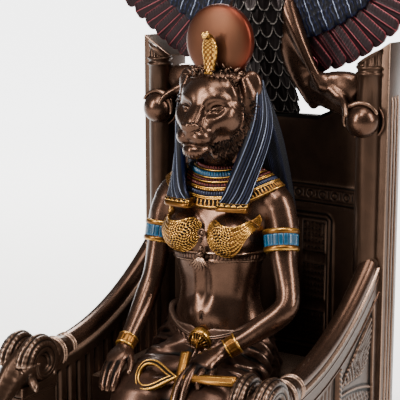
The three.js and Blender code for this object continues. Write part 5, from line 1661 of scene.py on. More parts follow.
@dataclass
class Jewellery:
    """Cups, belts, armlets, bracelets and the clasp, laid on the body.

    Attributes:
        body: The clay that they lie on.
    """

    body: Clay

    def cup(self) -> Shell:
        """Works out the +X cup: a wing whose root has scales and whose feathers sweep to an outer tip.

        Its outline is drawn in X and Z: the upper edge sags between a root by the
        middle line and the tip, the lower edge follows the breast. Each point is
        then cast back onto the body and lifted by the pattern.

        Returns:
            The cup.
        """
        along = np.linspace(0, 1, 120)[None]
        up = shares(70)
        top = spline([(2.4, 146.6), (6.4, 148.4), (11.6, 147.2), (17, 147.6), (21.6, 152.0)], 120).T[:, None]
        low = spline([(2.0, 143.0), (4.6, 137.4), (10.4, 135.0), (17, 138.0), (22.6, 149.6)], 120).T[:, None]
        x, z = (low[k] + (top[k] - low[k]) * up for k in range(2))
        start = np.stack([x, np.full_like(x, -12), z], -1)
        spot = self.body.cast(start, np.array([0, 1.0, 0]))
        normal = self.body.normal(spot)
        first = np.cos(2 * np.pi * (9.5 * along + 0.35 * np.sin(12 * up + 4 * along)))
        second = np.cos(2 * np.pi * (6 * up + 0.35 * np.sin(19 * along + 3 * up)))
        curl = 1.1 * bell(first * second, 0, 0.3) - 0.5
        feather = np.abs(np.sin(np.pi * (up * 6.5 + 0.6 * along))) ** 0.55 - 0.5
        barb = 0.12 * np.cos(2 * np.pi * (along * 34 + up * 6))
        swept = unit((along - 0.56) * 6)
        pattern = (1 - swept) * curl + swept * (feather + barb)
        rim = unit(unit(1 - np.minimum(up, 1 - up) / 0.07) ** 0.7 + unit(1 - along / 0.04))
        lift = 1.2 + 0.4 * pattern * (1 - rim) + 0.35 * rim
        # Raised scales and feathers take the high colour, the sunk ground the dark one: rubbed wear and painted
        # highlight, wash and painted shade
        return plate(spot + normal * lift[..., None], spot - 0.5 * normal,
                     {"lift": 1.1 * pattern * (1 - rim) + 0.2 * rim - 0.15})

    def hoop(self, clay: Clay, centre: Pattern, rows: int, lift: Pattern,
             columns: int = 260, reach: Row = (25, 19, 0)) -> Shell:
        """Lays a closed band round a body by casting level rays inwards.

        Args:
            clay: What it lies on.
            centre: The rays' ends, from the turn and the share across (0 to 1).
            rows: Rows across the band.
            lift: Height off the body, from the turn and the share across.
            columns: Points round the band.
            reach: How far out the rays start, across, to the front and up.

        Returns:
            The band.
        """
        turn = turns(columns)
        across = shares(rows)
        middle = centre(turn, across)
        out = np.stack([np.sin(turn), -np.cos(turn), 0 * turn], -1)
        spot = clay.cast(middle + out * reach, -np.broadcast_to(out, middle.shape))
        face = spot + out * lift(turn, across)[..., None]
        under = np.stack([spot[-1] - 1.2 * out[0], spot[0] - 1.2 * out[0]])
        return looped(np.concatenate([face, under]))

    def under_belt(self) -> Shell:
        """Works out the thin belt under the bust, with two ridges."""
        def centre(turn: Array, across: Array) -> Array:
            """Level, a little lower on the -X side."""
            z = 130.2 + 4.6 * across + 1.2 * np.sin(turn) + 0.4 * np.cos(turn)
            return np.stack(np.broadcast_arrays(0.0, HIP - 4, z), -1)

        def lift(turn: Array, across: Array) -> Array:
            """Two ridges with a groove and faint stitches between."""
            edges = bell(across, 0.14, 0.1) + bell(across, 0.86, 0.1)
            return 0.75 + 0.4 * edges + 0.2 * np.cos(70 * turn) * (np.abs(across - 0.5) < 0.2)

        return self.hoop(self.body, centre, 15, lift)

    def hip_belt(self) -> Shell:
        """Works out the slung belt: a V in front, double lines at its edges and triangles between."""
        def lift(turn: Array, across: Array) -> Array:
            """Lines at the edges and a zigzag between them."""
            edges = sum(bell(across, c, 0.045) for c in (0.05, 0.2, 0.8, 0.95))
            saw = np.abs(((turn * 46 / (2 * np.pi)) % 1) - 0.5) * 2
            zig = bell(across - 0.32, 0.36 * saw, 0.07)
            return 0.55 + 0.4 * edges + 0.3 * zig

        turn = turns(420)
        across = shares(30)
        return looped(np.concatenate([self.sling(turn, across, lift(turn, across)),
                                      self.sling(turn, np.array([[1.0], [0.0]]),
                                                 np.array([[-1.5], [-1.5]]))]))

    @staticmethod
    def sling(turn: Array, across: Array, lift: Array) -> Array:
        """Returns points on an ellipse round the hips that drops with the square of the turn's cosine."""
        half, depth = 24.2 - 0.8 * across + lift, 17.2 - 0.6 * across + lift
        side, front = 25 + 6.4 * across, 16.4 + 6.2 * across
        x, y = half * np.sin(turn), HIP - 2.6 - depth * np.cos(turn)
        z = SEAT + side + (front - side) * np.cos(turn) ** 2
        return np.stack(np.broadcast_arrays(x, y, z), -1)

    def band(self, middle: Row, way: Row, radius: float, height: float,
             slope: float, lift: Pattern, sides: int = 96, rows: int = 20) -> Shell:
        """Turns a band round a limb.

        Args:
            middle: Middle of the band.
            way: Direction of the limb.
            radius: Radius of the limb there.
            height: Height of the band.
            slope: How the radius changes over the height.
            lift: Height of the face, from the turn and the share across.
            sides: Points round it.
            rows: Rows across it.

        Returns:
            The band.
        """
        axis = np.asarray(way, float) / np.linalg.norm(way)
        side = np.cross(axis, (0, 0, 1))
        side /= np.linalg.norm(side)
        other = np.cross(axis, side)
        turn = turns(sides)
        across = shares(rows)
        around = np.cos(turn)[..., None] * side + np.sin(turn)[..., None] * other
        size = radius + slope * (across - 0.5) + lift(turn, across)
        face = np.asarray(middle) + around * size[..., None] + (across - 0.5)[..., None] * height * axis
        under = np.asarray(middle) + around * (radius - 1.2) + np.array([0.5, -0.5])[:, None, None] * height * axis
        return looped(np.concatenate([face, under]))

    def armlets(self) -> tuple[Shell, Shell]:
        """Returns the rims and the turquoise bands of both armlets."""
        def rims(turn: Array, across: Array) -> Array:
            """Two rounded rims with a sunk band between."""
            return 0.25 + 0.95 * sum(np.sqrt(unit(1 - ((across - c) / 0.13) ** 2)) for c in (0.12, 0.88))

        def stones(turn: Array, across: Array) -> Array:
            """Upright stones with grooves between them."""
            return 0.75 * unit(np.abs(np.sin(10 * turn)) * 4) ** 0.6 \
                * unit(16 * across * (1 - across))

        gold, blue = [], []
        for middle, way, radius in (((30.6, 16.3, 141), (-0.2, 0.28, 1), 6.6),
                                    ((-30.0, 17.0, 138.4), (0.05, 0.26, 1), 6.2)):
            gold.append(self.band(middle, way, radius, 9.4, 0.4, rims, rows=28))
            blue.append(self.band(middle, way, radius, 5.6, 0.3, stones, sides=180, rows=12))
        return merged(gold), merged(blue)

    def bracelets(self) -> Shell:
        """Returns both cuffs: rims at their edges and raised panels between."""
        def cuff(turn: Array, across: Array) -> Array:
            """Rims and rectangular panels."""
            edge = sum(np.sqrt(unit(1 - ((across - c) / 0.09) ** 2)) for c in (0.09, 0.91))
            panel = unit((np.abs(np.sin(4 * turn)) - 0.2) * 5) * unit((0.3 - np.abs(across - 0.5)) * 14)
            return 0.4 + 0.3 * edge + 0.22 * panel

        return merged([self.band((-29.9, -11.0, 94.5), (0.04, -0.8, -0.6), 3.7, 5.2, -0.4, cuff),
                       self.band((19.2, -4.7, 98.8), (-0.7, -0.5, -0.5), 3.8, 5.6, -0.3, cuff)])

    def clasp(self) -> Shell:
        """Works out the oval clasp: a domed plate with a lion's mask in a beaded rim."""
        rows, columns = 40, 96
        share = np.linspace(0.02, 1, rows)[:, None]
        turn = turns(columns)
        u, v = share * np.cos(turn), share * np.sin(turn)
        bump = lambda cx, cy, r, h: h * np.exp(-(((np.abs(u) - cx) ** 2 + (v - cy) ** 2) / r**2))
        mask = bump(0, 0.1, 0.32, 0.9) + bump(0.24, 0.3, 0.14, 0.5) - bump(0.24, 0.2, 0.08, 0.8) \
            + bump(0, -0.14, 0.16, 0.8) - bump(0, -0.32, 0.1, 0.5) + bump(0.36, 0.52, 0.14, 0.7)
        mane = 0.25 * np.cos(18 * turn) * bell(share, 0.62, 0.14)
        rim = 0.7 * bell(share, 0.9, 0.06) * (1 + 0.3 * np.cos(34 * turn))
        height = 1.6 * (1 - share**2) + 1.3 * mask + 1.4 * mane + rim
        face = np.stack([5.4 * u, -height - 1.2, 6.6 * v], -1)
        back = np.stack([5.4 * 0.98 * np.cos(turn[0]), np.full(columns, 1.5), 6.6 * 0.98 * np.sin(turn[0])],
                        -1)[None]
        points = np.concatenate([face, back]) @ np.array([[1, 0, 0], [0, 0.94, 0.34], [0, -0.34, 0.94]])
        # Raised mask, mane and rim lighter, its pits and ground darker: rubbed wear and painted highlight, wash and
        # painted shade
        pits = np.clip(mask, -1, 0.6) + 1.2 * mane + 0.5 * unit(rim) - 0.35
        return lattice(points + np.array([0, 2.0, 96.0]),
                       marks={"lift": np.concatenate([pits, 0 * pits[:1]])})

    def tassel(self) -> Shell:
        """Works out the knot and the fan of strands below the bust, and the ring between the cups."""
        count = 7
        spread = np.linspace(-1, 1, count)
        root = np.tile([0.0, 1.4, 133.6], (count, 1))
        way = np.stack([0.75 * spread, -0.28 + 0 * spread, -1 + 0.25 * np.abs(spread)], 1)
        fan = locks(root, way, np.stack([0.8 * spread, 0 * spread + 0.3, 0 * spread], 1), np.full(count, 6.6),
                    np.full(count, 0.85), rings=9, sides=7, flat=0.8)
        knot = [globe((0, 1.2, 134.6), (1.6, 1.3, 1.4), 16, 10),
                globe((0, 1.8, 137.0), (1.2, 1.0, 1.4), 14, 9)]
        loop = turned([(1.6 + 0.5 * math.cos(a), 0.5 * math.sin(a)) for a in np.linspace(0, 2 * np.pi, 9)[:-1]],
                      (0, 2.4, 143.6), (0, -1, 0.1), sides=28, closed=True)
        return merged([fan, *knot, loop, globe((0, 3, 143.6), (1.3, 1.0, 1.3), 14, 9)])

    def build(self) -> None:
        """Builds every piece of jewellery."""
        piece("cups", both(self.cup()), GOLD_RUBBED_AND_HIGHLIGHTED, Look.GOLD, "goddess", rounds=5, reach=0.2)
        piece("under_bust_belt", self.under_belt(), BRONZE_SKIN, Look.BRONZE, "goddess", rounds=5, reach=0.3)
        piece("hip_belt", self.hip_belt(), BRONZE_CLOTH, Look.BRONZE, "goddess", rounds=5, reach=0.2)
        gold, blue = self.armlets()
        piece("armlet_rims", gold, GOLD_RUBBED_AND_HIGHLIGHTED, Look.GOLD, "goddess", rounds=5, reach=0.4)
        piece("armlet_stones", blue, TURQUOISE_PAINT, Look.TURQUOISE, "goddess", rounds=4, reach=0.14)
        piece("bracelets", self.bracelets(), GOLD_RUBBED_AND_HIGHLIGHTED, Look.GOLD, "goddess", rounds=5, reach=0.25)
        piece("clasp", self.clasp(), GOLD_RUBBED_AND_HIGHLIGHTED, Look.GOLD, "goddess", rounds=4, reach=0.25)
        piece("tassel", self.tassel(), BRONZE_SKIN, Look.BRONZE, "goddess", rounds=3, reach=0.3)


# The throne


ARM_LEVEL, ARM_START, ARM_RISE, ARM_RUN, ARM_BEND = 92.1, -37, 35.3, 90, 2.2


def arm_height(y: Array) -> Array:
    """Returns the height of an arm's middle line: level in front, rising ever faster to the post."""
    return ARM_LEVEL + ARM_RISE * np.clip((y - ARM_START) / ARM_RUN, 0, None) ** ARM_BEND


@dataclass
class Base:
    """The stepped dais and the seat.

    Attributes:
        half: Half width and half depth of the plinth.
        plinth: Its height.
        step: Height of the step on it.
        inset: How far the step stands back.
    """

    half: tuple = (66.0, 71.0)
    plinth: float = 9.0
    step: float = 5.0
    inset: float = 2.5

    def build(self) -> None:
        """Builds plinth, step, a row of upright reeds round the plinth, and the seat."""
        (a, b), top, inset = self.half, self.plinth, self.inset
        boxes = [rounded_box((-a, -b, 0), (a, b, top), 0.8),
                 rounded_box((inset - a, inset - b, top - 1), (a - inset, b - inset, top + self.step), 0.8),
                 rounded_box((-50, -9.7, 13), (50, 64, 76), 0.8)]
        pitch, reach = 4.4, 0.55
        for way, run, out in ((0, a, b), (1, b, a)):
            at = np.arange(-run + pitch, run - pitch / 2, pitch)
            for side in (-1, 1):
                for k in at:
                    centre = (k, side * (out - 0.35), 4.5) if way == 0 else (side * (out - 0.35), k, 4.5)
                    radii = (1.3, reach, 3.0) if way == 0 else (reach, 1.3, 3.0)
                    boxes.append(globe(centre, radii, 10, 6))
        piece("base_and_seat", merged(boxes), BRONZE_THRONE, Look.DARK, "throne", rounds=3, reach=0.5)


@dataclass
class Arms:
    """Side panels, rolled arms, front pillars and rams' heads of the throne.

    Attributes:
        inner: Inner face of a side panel, across.
        outer: Its outer face.
        front: Its front edge.
        rear: Where it ends in the post.
        roll: Radius of the rolled top.
        border: Width of the flat border round the sunk panel; not used.
        recess: Depth of the sunk panel.
        ram_middle: Middle of a ram's head, across.
        ram_front: Where its neck meets the arm, from front to back.
        sleeve_middle: Middle of the sleeve and rings round the arm, across.
    """

    inner: float = 49.5
    outer: float = 60.0
    front: float = -37.0
    rear: float = 57.2
    roll: float = 4.2
    border: float = 5.0
    recess: float = 1.4
    ram_middle: float = 54.75
    ram_front: float = -48
    sleeve_middle: float = 55.2

    def wing_relief(self, y: Array, z: Array) -> Array:
        """Height of the carved wing in the sunk panel.

        Round the wing's root a polar grid is laid: long feathers lie between rays,
        short scales lie near the root. Its outline ends where the feathers' tips
        run out along the arm.

        Args:
            y: Depths.
            z: Heights.

        Returns:
            Heights in millimetres.
        """
        dy, dz = y - 15.5, z - 80.5
        reach = np.hypot(dy, dz)
        angle = np.degrees(np.arctan2(dz, dy))
        share = unit((angle - 2) / 36)
        count = 11
        cell = (share * count) % 1
        rank = np.floor(share * count) / count
        length = 22 + 18 * rank**0.8 + 1.4 * np.sqrt(unit(1 - (2 * cell - 1) ** 2))
        inside = unit((length - reach) / 0.8) * unit((angle - 1) / 1.5) * unit((39.5 - angle) / 1.5)
        quill = np.abs(np.sin(np.pi * cell)) ** 0.5
        row = (reach / 2.6) % 1
        stagger = np.floor(reach / 2.6) % 2 * 0.5
        scale = np.abs(((share * 7 + stagger) % 1) - 0.5) * 2
        scales = unit(1.15 - np.hypot(scale, row)) ** 0.5
        near = unit((17 - reach) / 2)
        barbs = 0.12 * np.cos(2 * np.pi * (reach / 1.3 + 0.4 * cell))
        wing = inside * (0.35 + 0.75 * ((1 - near) * (quill + barbs) + near * scales))
        arc = bell(np.abs(z - (77.2 - 0.006 * (y - 20) ** 2)), 0, 0.55) * (y > 17)
        lower = unit((75.4 - 0.006 * (y - 20) ** 2 - z) / 1) * unit((z - 55) / 3) * (y > 17)
        v = (z / 2.4) % 1
        u = np.abs(((y / 3.0 + np.floor(z / 2.4) % 2 * 0.5) % 1) - 0.5) * 2
        return wing + 0.8 * arc + 0.5 * lower * unit(1.15 - np.hypot(u, v)) ** 0.5

    def panel(self) -> Shell:
        """Works out the +X side panel as two height fields: carved outside, fluted inside."""
        rows, columns = 150, 230
        y = np.linspace(self.front, self.rear, columns)[None]
        top = arm_height(y) - 2.1
        share = shares(rows)
        z = 13 + (top - 13) * share
        y = np.broadcast_to(y, z.shape)
        down = arm_height(y) - z
        edge = np.minimum.reduce([y + 32, 48.5 - y, z - 19, down - 11.3])
        rope_at = 14.0
        sunk = unit(edge / 0.7) * unit(np.abs(y - rope_at) - 1.9)
        rope = unit(edge / 0.7) * unit(1 - ((y - rope_at) / 1.6) ** 2) ** 0.5 \
            * (0.6 + 0.3 * np.cos(2 * np.pi * (z + 0.8 * (y - rope_at)) / 2.2))
        reeds = unit(np.minimum(np.minimum(y + 29, 9.5 - y), np.minimum(z - 22, down - 14)) / 1.5)
        outer = -self.recess * sunk + rope + sunk * self.wing_relief(y, z) * (y > rope_at) \
            + 0.45 * reeds * np.abs(np.cos(np.pi * y / 3.4)) ** 0.7
        flute = unit(1 - np.abs(((y + 37) % 6.8) - 3.4) / 1.6) ** 0.6
        inner = 1.3 * flute * unit((down - 7) / 1.5) * unit((z - 17) / 1.5)
        outside = np.stack([self.outer + outer, y, z], -1)
        inside = np.stack([self.inner + inner, y, z], -1)
        return plate(outside, inside)

    def rolls(self) -> Shell:
        """Carries the arm's section along its middle line: the roll, a bead outside and a ledge inside."""
        y = np.linspace(self.front - 1, 53, 90)
        path = np.stack([np.full_like(y, 55.3), y, arm_height(y)], 1)
        _, side, rise = frames(path)
        rise = -rise if rise[0, 2] < 0 else rise
        turn = np.linspace(0, 2 * np.pi, 36, endpoint=False)
        roll = np.stack([self.roll * np.cos(turn), self.roll * np.sin(turn)], 1)
        shells = []
        for across, up, size in ((0, 0, 1.0), (4.4, -5.0, 0.12), (4.6, -10.2, 0.12), (-4.9, -4.4, 0.2)):
            line = path + side * across + rise * up
            keep = roll * size
            rows = line[:, None] + side[:, None] * keep[:, :1] + rise[:, None] * keep[:, 1:]
            shells.append(lattice(rows))
        return merged(shells)

    def pillar(self) -> Shell:
        """Works out the +X front pillar: a fluted shaft between a foot and a cap."""
        low, high = self.front - 22, self.front + 1
        reeds = [sweep(np.array([[x, low - 0.1, z] for z in (22, 24, 50, 72, 74)]), circle(10) * (0.95, 0.7),
                       np.array([0.2, 1, 1, 1, 0.2])) for x in np.linspace(51.4, 58.1, 4)]
        side = [sweep(np.array([[60.1, y, z] for z in (22, 24, 50, 72, 74)]), circle(10) * (0.7, 0.95),
                      np.array([0.2, 1, 1, 1, 0.2])) for y in np.linspace(low + 3, high - 5, 6)]
        return merged([rounded_box((self.inner, low, 13), (self.outer, high, 84.1), 0.5),
                       rounded_box((self.inner - 1, low - 1, 13), (self.outer + 1, high, 18), 0.6),
                       rounded_box((self.inner - 1, low - 1, 80.1), (self.outer + 1, high, 84.1), 0.6),
                       rounded_box((self.inner - 0.5, low - 0.5, 18), (self.outer + 0.5, high, 19.4), 0.4),
                       rounded_box((self.inner - 0.5, low - 0.5, 78.6), (self.outer + 0.5, high, 80), 0.4),
                       *reeds, *side])

    def ram(self) -> Shell:
        """Models a ram's head in clay and winds ridged horns round its ears.

        A horn's middle line is a spiral whose radius shrinks with the turn; its
        thickness shrinks too and waves with about two ridges a millimetre.

        Returns:
            The head on the +X arm.
        """
        origin = np.array([self.ram_middle, self.ram_front, ARM_LEVEL])
        clay = Clay(origin + (-12, -24.5, -19), origin + (12, 15, 9), 0.42)

        def at(rows: Rows) -> list[list[float]]:
            """Moves rows of x, y, z and radius to the arm's end."""
            return [[r[0] + origin[0], r[1] + origin[1], r[2] + origin[2], *r[3:]] for r in rows]

        clay.worm(at([(0, 13, -2.6, 5.4), (0, 4, -2, 7.2), (0, -4, -2, 7.6)]), soft=2, squash=(0.92, 1, 1.05))
        clay.worm(at([(0, -2, -2, 7.2), (0, -10, -4, 6.4), (0, -16.4, -9.4, 4.6), (0, -19.8, -13, 3.4)]),
                  soft=2.4,
                  squash=(0.95, 1, 1))
        clay.worm(at([(0, -6, 3.6, 2), (0, -12.4, 0.4, 1.8), (0, -18.4, -7, 1.5)]), soft=1.5)
        for side in (-1, 1):
            clay.egg(at([(4.4 * side, -10.6, -3.6)])[0], (1.7, 2.0, 1.6), soft=0.4)
            clay.worm(at([(3 * side, -9.6, -0.6, 0.7), (5.2 * side, -11, -1.4, 0.8),
                          (5.8 * side, -9.4, -3, 0.5)]), soft=0.6)
            clay.worm(at([(5.6 * side, -6, -4, 1.6), (9.2 * side, -8, -6.2, 1.9),
                          (12.4 * side, -9.4, -8.6, 0.8)]), soft=0.8)
            clay.egg(at([(2 * side, -21, -13.6)])[0], (0.7, 0.7, 0.4), soft=0.2, carve=True)
            clay.worm(at([(0, -21.6, -15.4, 0.3), (3 * side, -18.8, -13.4, 0.4),
                          (4.2 * side, -15.6, -11, 0.3)]),
                      soft=0.4, carve=True)
        share = np.linspace(0, 1, 130)
        angle = np.pi * (0.02 + 2.05 * share)
        reach = 8.9 - 5.2 * share
        radial = np.stack([0 * angle, -np.cos(angle), np.sin(angle)], 1)
        notch = np.abs(np.sin(np.pi * share * 34)) ** 0.6
        size = (5.2 - 3.9 * share**1.2) * (0.96 + 0.04 * notch)
        shells = [clay.shell()]
        turn = np.linspace(0, 2 * np.pi, 72, endpoint=False)
        ridge = np.abs(np.cos(4.5 * turn)) ** 0.7
        section = circle(72) * (0.9 + 0.14 * ridge)[:, None]
        for side in (-1, 1):
            centre = origin + np.array([0, 1.6, -0.2]) + radial * reach[:, None]
            centre[:, 0] += side * (4.4 + 2.6 * share)
            rows = centre[:, None] + radial[:, None] * (section[None, :, :1] * size[:, None, None]) \
                + np.array([1.0, 0, 0]) * (section[None, :, 1:] * 0.8 * size[:, None, None])
            # Horn ridges lighter, grooves a little darker: rubbed wear and painted highlight, wash and painted shade
            mark = 0.7 * unit(ridge[None] - 0.7) * (0.4 + 0.6 * notch[:, None]) - 0.15
            shells.append(lattice(rows, marks={"lift": mark}))
        for y, radius in ((-30.6, 6.6), (-28.8, 6.3), (-22.0, 5.3), (-20.4, 5.2)):
            z = float(arm_height(np.array(y)))
            ring = [(radius + 0.6 * math.cos(a), 0.6 * math.sin(a)) for a in np.linspace(0, 2 * np.pi, 11)[:-1]]
            shells.append(turned(ring, (self.sleeve_middle, y, z - 1.2), (0, 1, 0.05), sides=44, closed=True))
        shells.append(self.sleeve())
        return merged(shells)

    def sleeve(self) -> Shell:
        """Works out the ornamented sleeve behind a ram's head: rows of drops round the arm."""
        y = np.linspace(-38, -20.6, 70)[:, None]
        turn = turns(80)
        radius = np.interp(y, [-38, -34.6, -20.6], [7.2, 6.6, 5.0])
        row = ((y + 35) / 3.4) % 1
        cell = np.abs(((turn * 9 / np.pi + np.floor((y + 35) / 3.4) % 2 * 0.5) % 1) - 0.5) * 2
        drop = unit(1.1 - np.hypot(cell, 2 * row - 1)) ** 0.5
        size = radius + 0.2 * drop * (y > -34)
        z = arm_height(y) - 1.2
        return lattice(np.stack([self.sleeve_middle + size * np.cos(turn), y + 0 * turn, z + size
                                 * np.sin(turn)], -1))

    def build(self) -> None:
        """Builds panels, rolls, pillars and rams' heads on both sides."""
        piece("side_panels", both(self.panel()), BRONZE_THRONE, Look.DARK, "throne", rounds=6, reach=0.3)
        piece("arm_rolls", both(self.rolls()), BRONZE_SKIN, Look.DARK, "throne", rounds=2, reach=0.8)
        piece("front_pillars", both(self.pillar()), BRONZE_THRONE, Look.DARK, "throne", rounds=2, reach=0.5)
        piece("rams", both(self.ram()), BRONZE_THRONE, Look.DARK, "throne", rounds=6, reach=0.22)


@dataclass
class Back:
    """Posts, orbs in their sockets, and the hollowed back panel of the throne.

    Attributes:
        half: Half width of the panel.
        crest: Half of its upper edge, across and up.
        post: Middle of a post, across and back.
        post_radius: Its radius.
        orb: Middle of an orb.
        orb_radius: Its radius.
    """

    half: float = 50.5
    crest: tuple = ((0, 189), (25.25, 189), (31.4, 191.7), (37.9, 195.6), (44.4, 199.6), (50.5, 203.7))
    post: tuple = (53.0, 53.0)
    post_radius: float = 5.2
    orb: tuple = (51.8, 49.7, 189.3)
    orb_radius: float = 7.2

    def panel(self) -> Shell:
        """Works out the panel's front: a hollow with a band, a frame and tablets of small strokes.

        The depth grows with the square of the distance from the middle. The relief
        adds a rolled upper edge, a band of discs and triangles between lines, a
        rounded frame, and tablets in two columns.

        Returns:
            The panel's front half.
        """
        rows, columns = 230, 240
        x = np.linspace(-self.half, self.half, columns)[None]
        top = np.interp(np.abs(x), *np.array(self.crest).T)
        share = shares(rows)
        z = 70 + (top - 70) * share
        x = np.broadcast_to(x, z.shape)
        lift = self.frieze(x, z) + self.frame_relief(x, z) + self.tablets(x, z)
        lift = lift + 0.7 * bell(top - z, 1.3, 1.0)
        y = 62.5 - 6 * (x / self.half) ** 2 - lift
        front = np.stack([x, y, z], -1)
        count = rows * columns
        number = np.arange(count).reshape(rows, columns)
        rim = border(number)
        back = front.reshape(-1, 3)[rim] * (1, 0, 1) + (0, 65.5, 0)
        behind = count + np.arange(len(rim))
        edge = np.stack([np.roll(rim, -1), rim, behind, np.roll(behind, -1)], -1)
        faces = [skin(number, False), edge, behind[None]]
        return Shell(np.concatenate([front.reshape(-1, 3), back]), faces).outward()

    @staticmethod
    def frieze(x: Array, z: Array) -> Array:
        """Height of the band: two lines at each edge, and discs between triangles."""
        v = (z - 149) / 9.5
        inside = unit(v * 14) * unit((1 - v) * 14)
        lines = sum(bell(v, c, 0.05) for c in (0.08, 0.24, 0.76, 0.92))
        u = ((x / 6.4) % 1 - 0.5) * 2
        ring = bell(np.hypot(u * 3.2, (v - 0.5) * 9.5), 1.5, 0.4)
        saw = unit((0.24 - np.abs(np.abs(u) - 1)) * 6) * (np.abs(v - 0.5) < 0.16)
        return inside * (0.6 + 0.4 * lines + 0.5 * ring + 0.35 * saw)

    @staticmethod
    def frame_relief(x: Array, z: Array) -> Array:
        """Height of the rounded frame, from the distance to a rectangle with round corners."""
        dx, dz = np.abs(x) - 30, np.abs(z - 113) - 28
        away = np.hypot(np.maximum(dx, 0), np.maximum(dz, 0)) + np.minimum(np.maximum(dx, dz), 0)
        outer = bell(away, 4, 0.75) + 0.7 * bell(away, 1.6, 0.45)
        return 0.8 * unit(outer)

    @staticmethod
    def tablets(x: Array, z: Array) -> Array:
        """Height of two columns of tablets, each filled with rows of small strokes that say nothing."""
        row = (z - 80) / 22
        inside = unit((28 - np.abs(z - 113)) / 0.5)
        u = (np.abs(x) - 24.5) / 6.2
        v = (row % 1 - 0.5) * 2.5
        box = unit((1 - np.abs(u)) * 9) * unit((1 - np.abs(v)) * 12)
        edge = bell(np.abs(u), 0.93, 0.07) + bell(np.abs(v), 0.95, 0.05)
        line, side = z / 2.9, x / 1.9
        chance = np.sin(127.1 * np.floor(line) + 311.7 * np.floor(side)) * 43758.5
        chance = chance - np.floor(chance)
        p, q = line % 1 - 0.5, side % 1 - 0.5
        bar = bell(np.where(chance > 0.5, p + (chance - 0.75) * q, q + (chance - 0.25) * p), 0, 0.16)
        hook = bell(np.hypot(p, q), 0.3, 0.12)
        sign = np.where(chance * 3 % 1 > 0.45, bar, hook) * unit(1.2 - 2.2 * np.maximum(np.abs(p), np.abs(q)))
        middle = unit((15.5 - np.abs(x)) * 2) * (np.abs(z - 113) < 27)
        column = bell(np.abs(x), 16.6, 0.35) + bell(np.abs(x), 5.6, 0.3)
        return inside * (box * (0.45 + 0.55 * sign * (1 - unit(edge)) + 0.35 * edge)
                         + 0.5 * middle * sign * (np.abs((np.abs(x) - 11)) < 4.4) + 0.35 * column)

    def rear(self) -> Shell:
        """Works out the panel's rear: a plain sunk field in a flat border, with level bands."""
        rows, columns = 110, 90
        x = np.linspace(-self.half, self.half, columns)[None]
        top = np.interp(np.abs(x), *np.array(self.crest).T)
        z = 13 + (top - 13.15) * shares(rows)
        x = np.broadcast_to(x, z.shape)
        edge = np.minimum.reduce([40.5 - np.abs(x), z - 24, 179 - z])
        bands = sum(bell(z, h, 1.2) for h in (40, 44, 120, 124, 158, 162))
        depth = unit(edge / 0.8) * (1.4 - 0.8 * unit(bands) - 0.35 * np.abs(np.cos(np.pi * x / 5.4)))
        behind = np.stack([x, 67.5 - depth, z], -1)
        return plate(behind, np.stack([x, np.full_like(x, 62.8), z], -1))

    @staticmethod
    def slant(x: Array) -> Array:
        """Returns how far the slanted top of post and block has risen at x, from 0 at its inner side."""
        return (x - 46) / 16 * 10.8

    def column(self) -> Shell:
        """Works out the +X post: a round column with two thin bands and flutes above them, cut on the slant."""
        sides = 88
        turn = turns(sides)
        foot = np.concatenate([np.linspace(13, 204, 60), np.linspace(204.4, 213, 50)])
        x0 = self.post[0] + self.post_radius * np.cos(turn)
        top = 212.0 + self.slant(x0)
        low = np.broadcast_to(foot[:, None], (len(foot), sides))
        z = np.concatenate([low, 213 + (top - 213) * np.linspace(0.02, 1, 40)[:, None]])
        flute = np.abs(np.sin(6 * turn)) ** 0.6 * unit((z - 212.6) / 0.5) * unit((top - 1.2 - z) / 0.5)
        bands = sum(np.sqrt(unit(1 - ((z - h) / 0.7) ** 2)) for h in (209.6, 212.2))
        radius = self.post_radius - 0.9 * flute + 0.7 * bands + 0.3 * bell(top, z, 0.7)
        points = np.stack([self.post[0] + radius * np.cos(turn), self.post[1] + radius * np.sin(turn), z], -1)
        return lattice(points)

    def block(self) -> Shell:
        """Works out the square block behind the +X post, with its slanted top and an upright groove."""
        low = rounded_box((47.8, 53, 13), (62, 67.5, 214), 0.6)
        slant = low.points[:, 2] > 200
        low.points[slant, 2] += self.slant(low.points[slant, 0]) - 1.7
        grooves = [sweep(np.array([[62.1, y, z] for z in (26, 28, 110, 198, 200)]), circle(10) * (0.5, 0.9),
                         np.array([0.2, 1, 1, 1, 0.2])) for y in (57, 60.2, 63.4)]
        return merged([low, *grooves])

    def orbs(self) -> Shell:
        """Works out the +X orb and its socket of two thin rings."""
        x, y, z = self.orb
        r = self.orb_radius
        ball = globe((x, y, z), (r, r, r), 64, 40)
        profile = [(0.5, 6), (8.6, 6), (8.9, 5.2), (8.9, 2.6), (8.6, 2.2), (8.2, 2.2), (7.9, 2.6), (7.5, 3.4),
                   (0.5, 3.6)]
        return merged([ball, turned(profile, (x, y - 0.2, z), (0, 1, 0), sides=72)])

    def build(self) -> None:
        """Builds panel, posts and orbs."""
        piece("back_panel", self.panel(), BRONZE_THRONE, Look.DARK, "throne", rounds=5, reach=0.3)
        piece("back_rear", self.rear(), BRONZE_THRONE, Look.DARK, "throne", rounds=4, reach=0.4)
        piece("posts", both(merged([self.column(), self.block()])), BRONZE_THRONE, Look.DARK, "throne",
              rounds=4, reach=0.4)
        piece("orbs", both(self.orbs()), BRONZE_SKIN, Look.DARK, "throne", rounds=2, reach=1.0)


# The falcon

PERCH, CREST = 64.0, 189.3


def falcon(rows: Rows) -> Array:
    """Moves rows laid out from the tail's foot (across, back, up, ...) to their place."""
    table = np.array(rows, float)
    table[:, :3] += (0, PERCH, CREST)
    return table


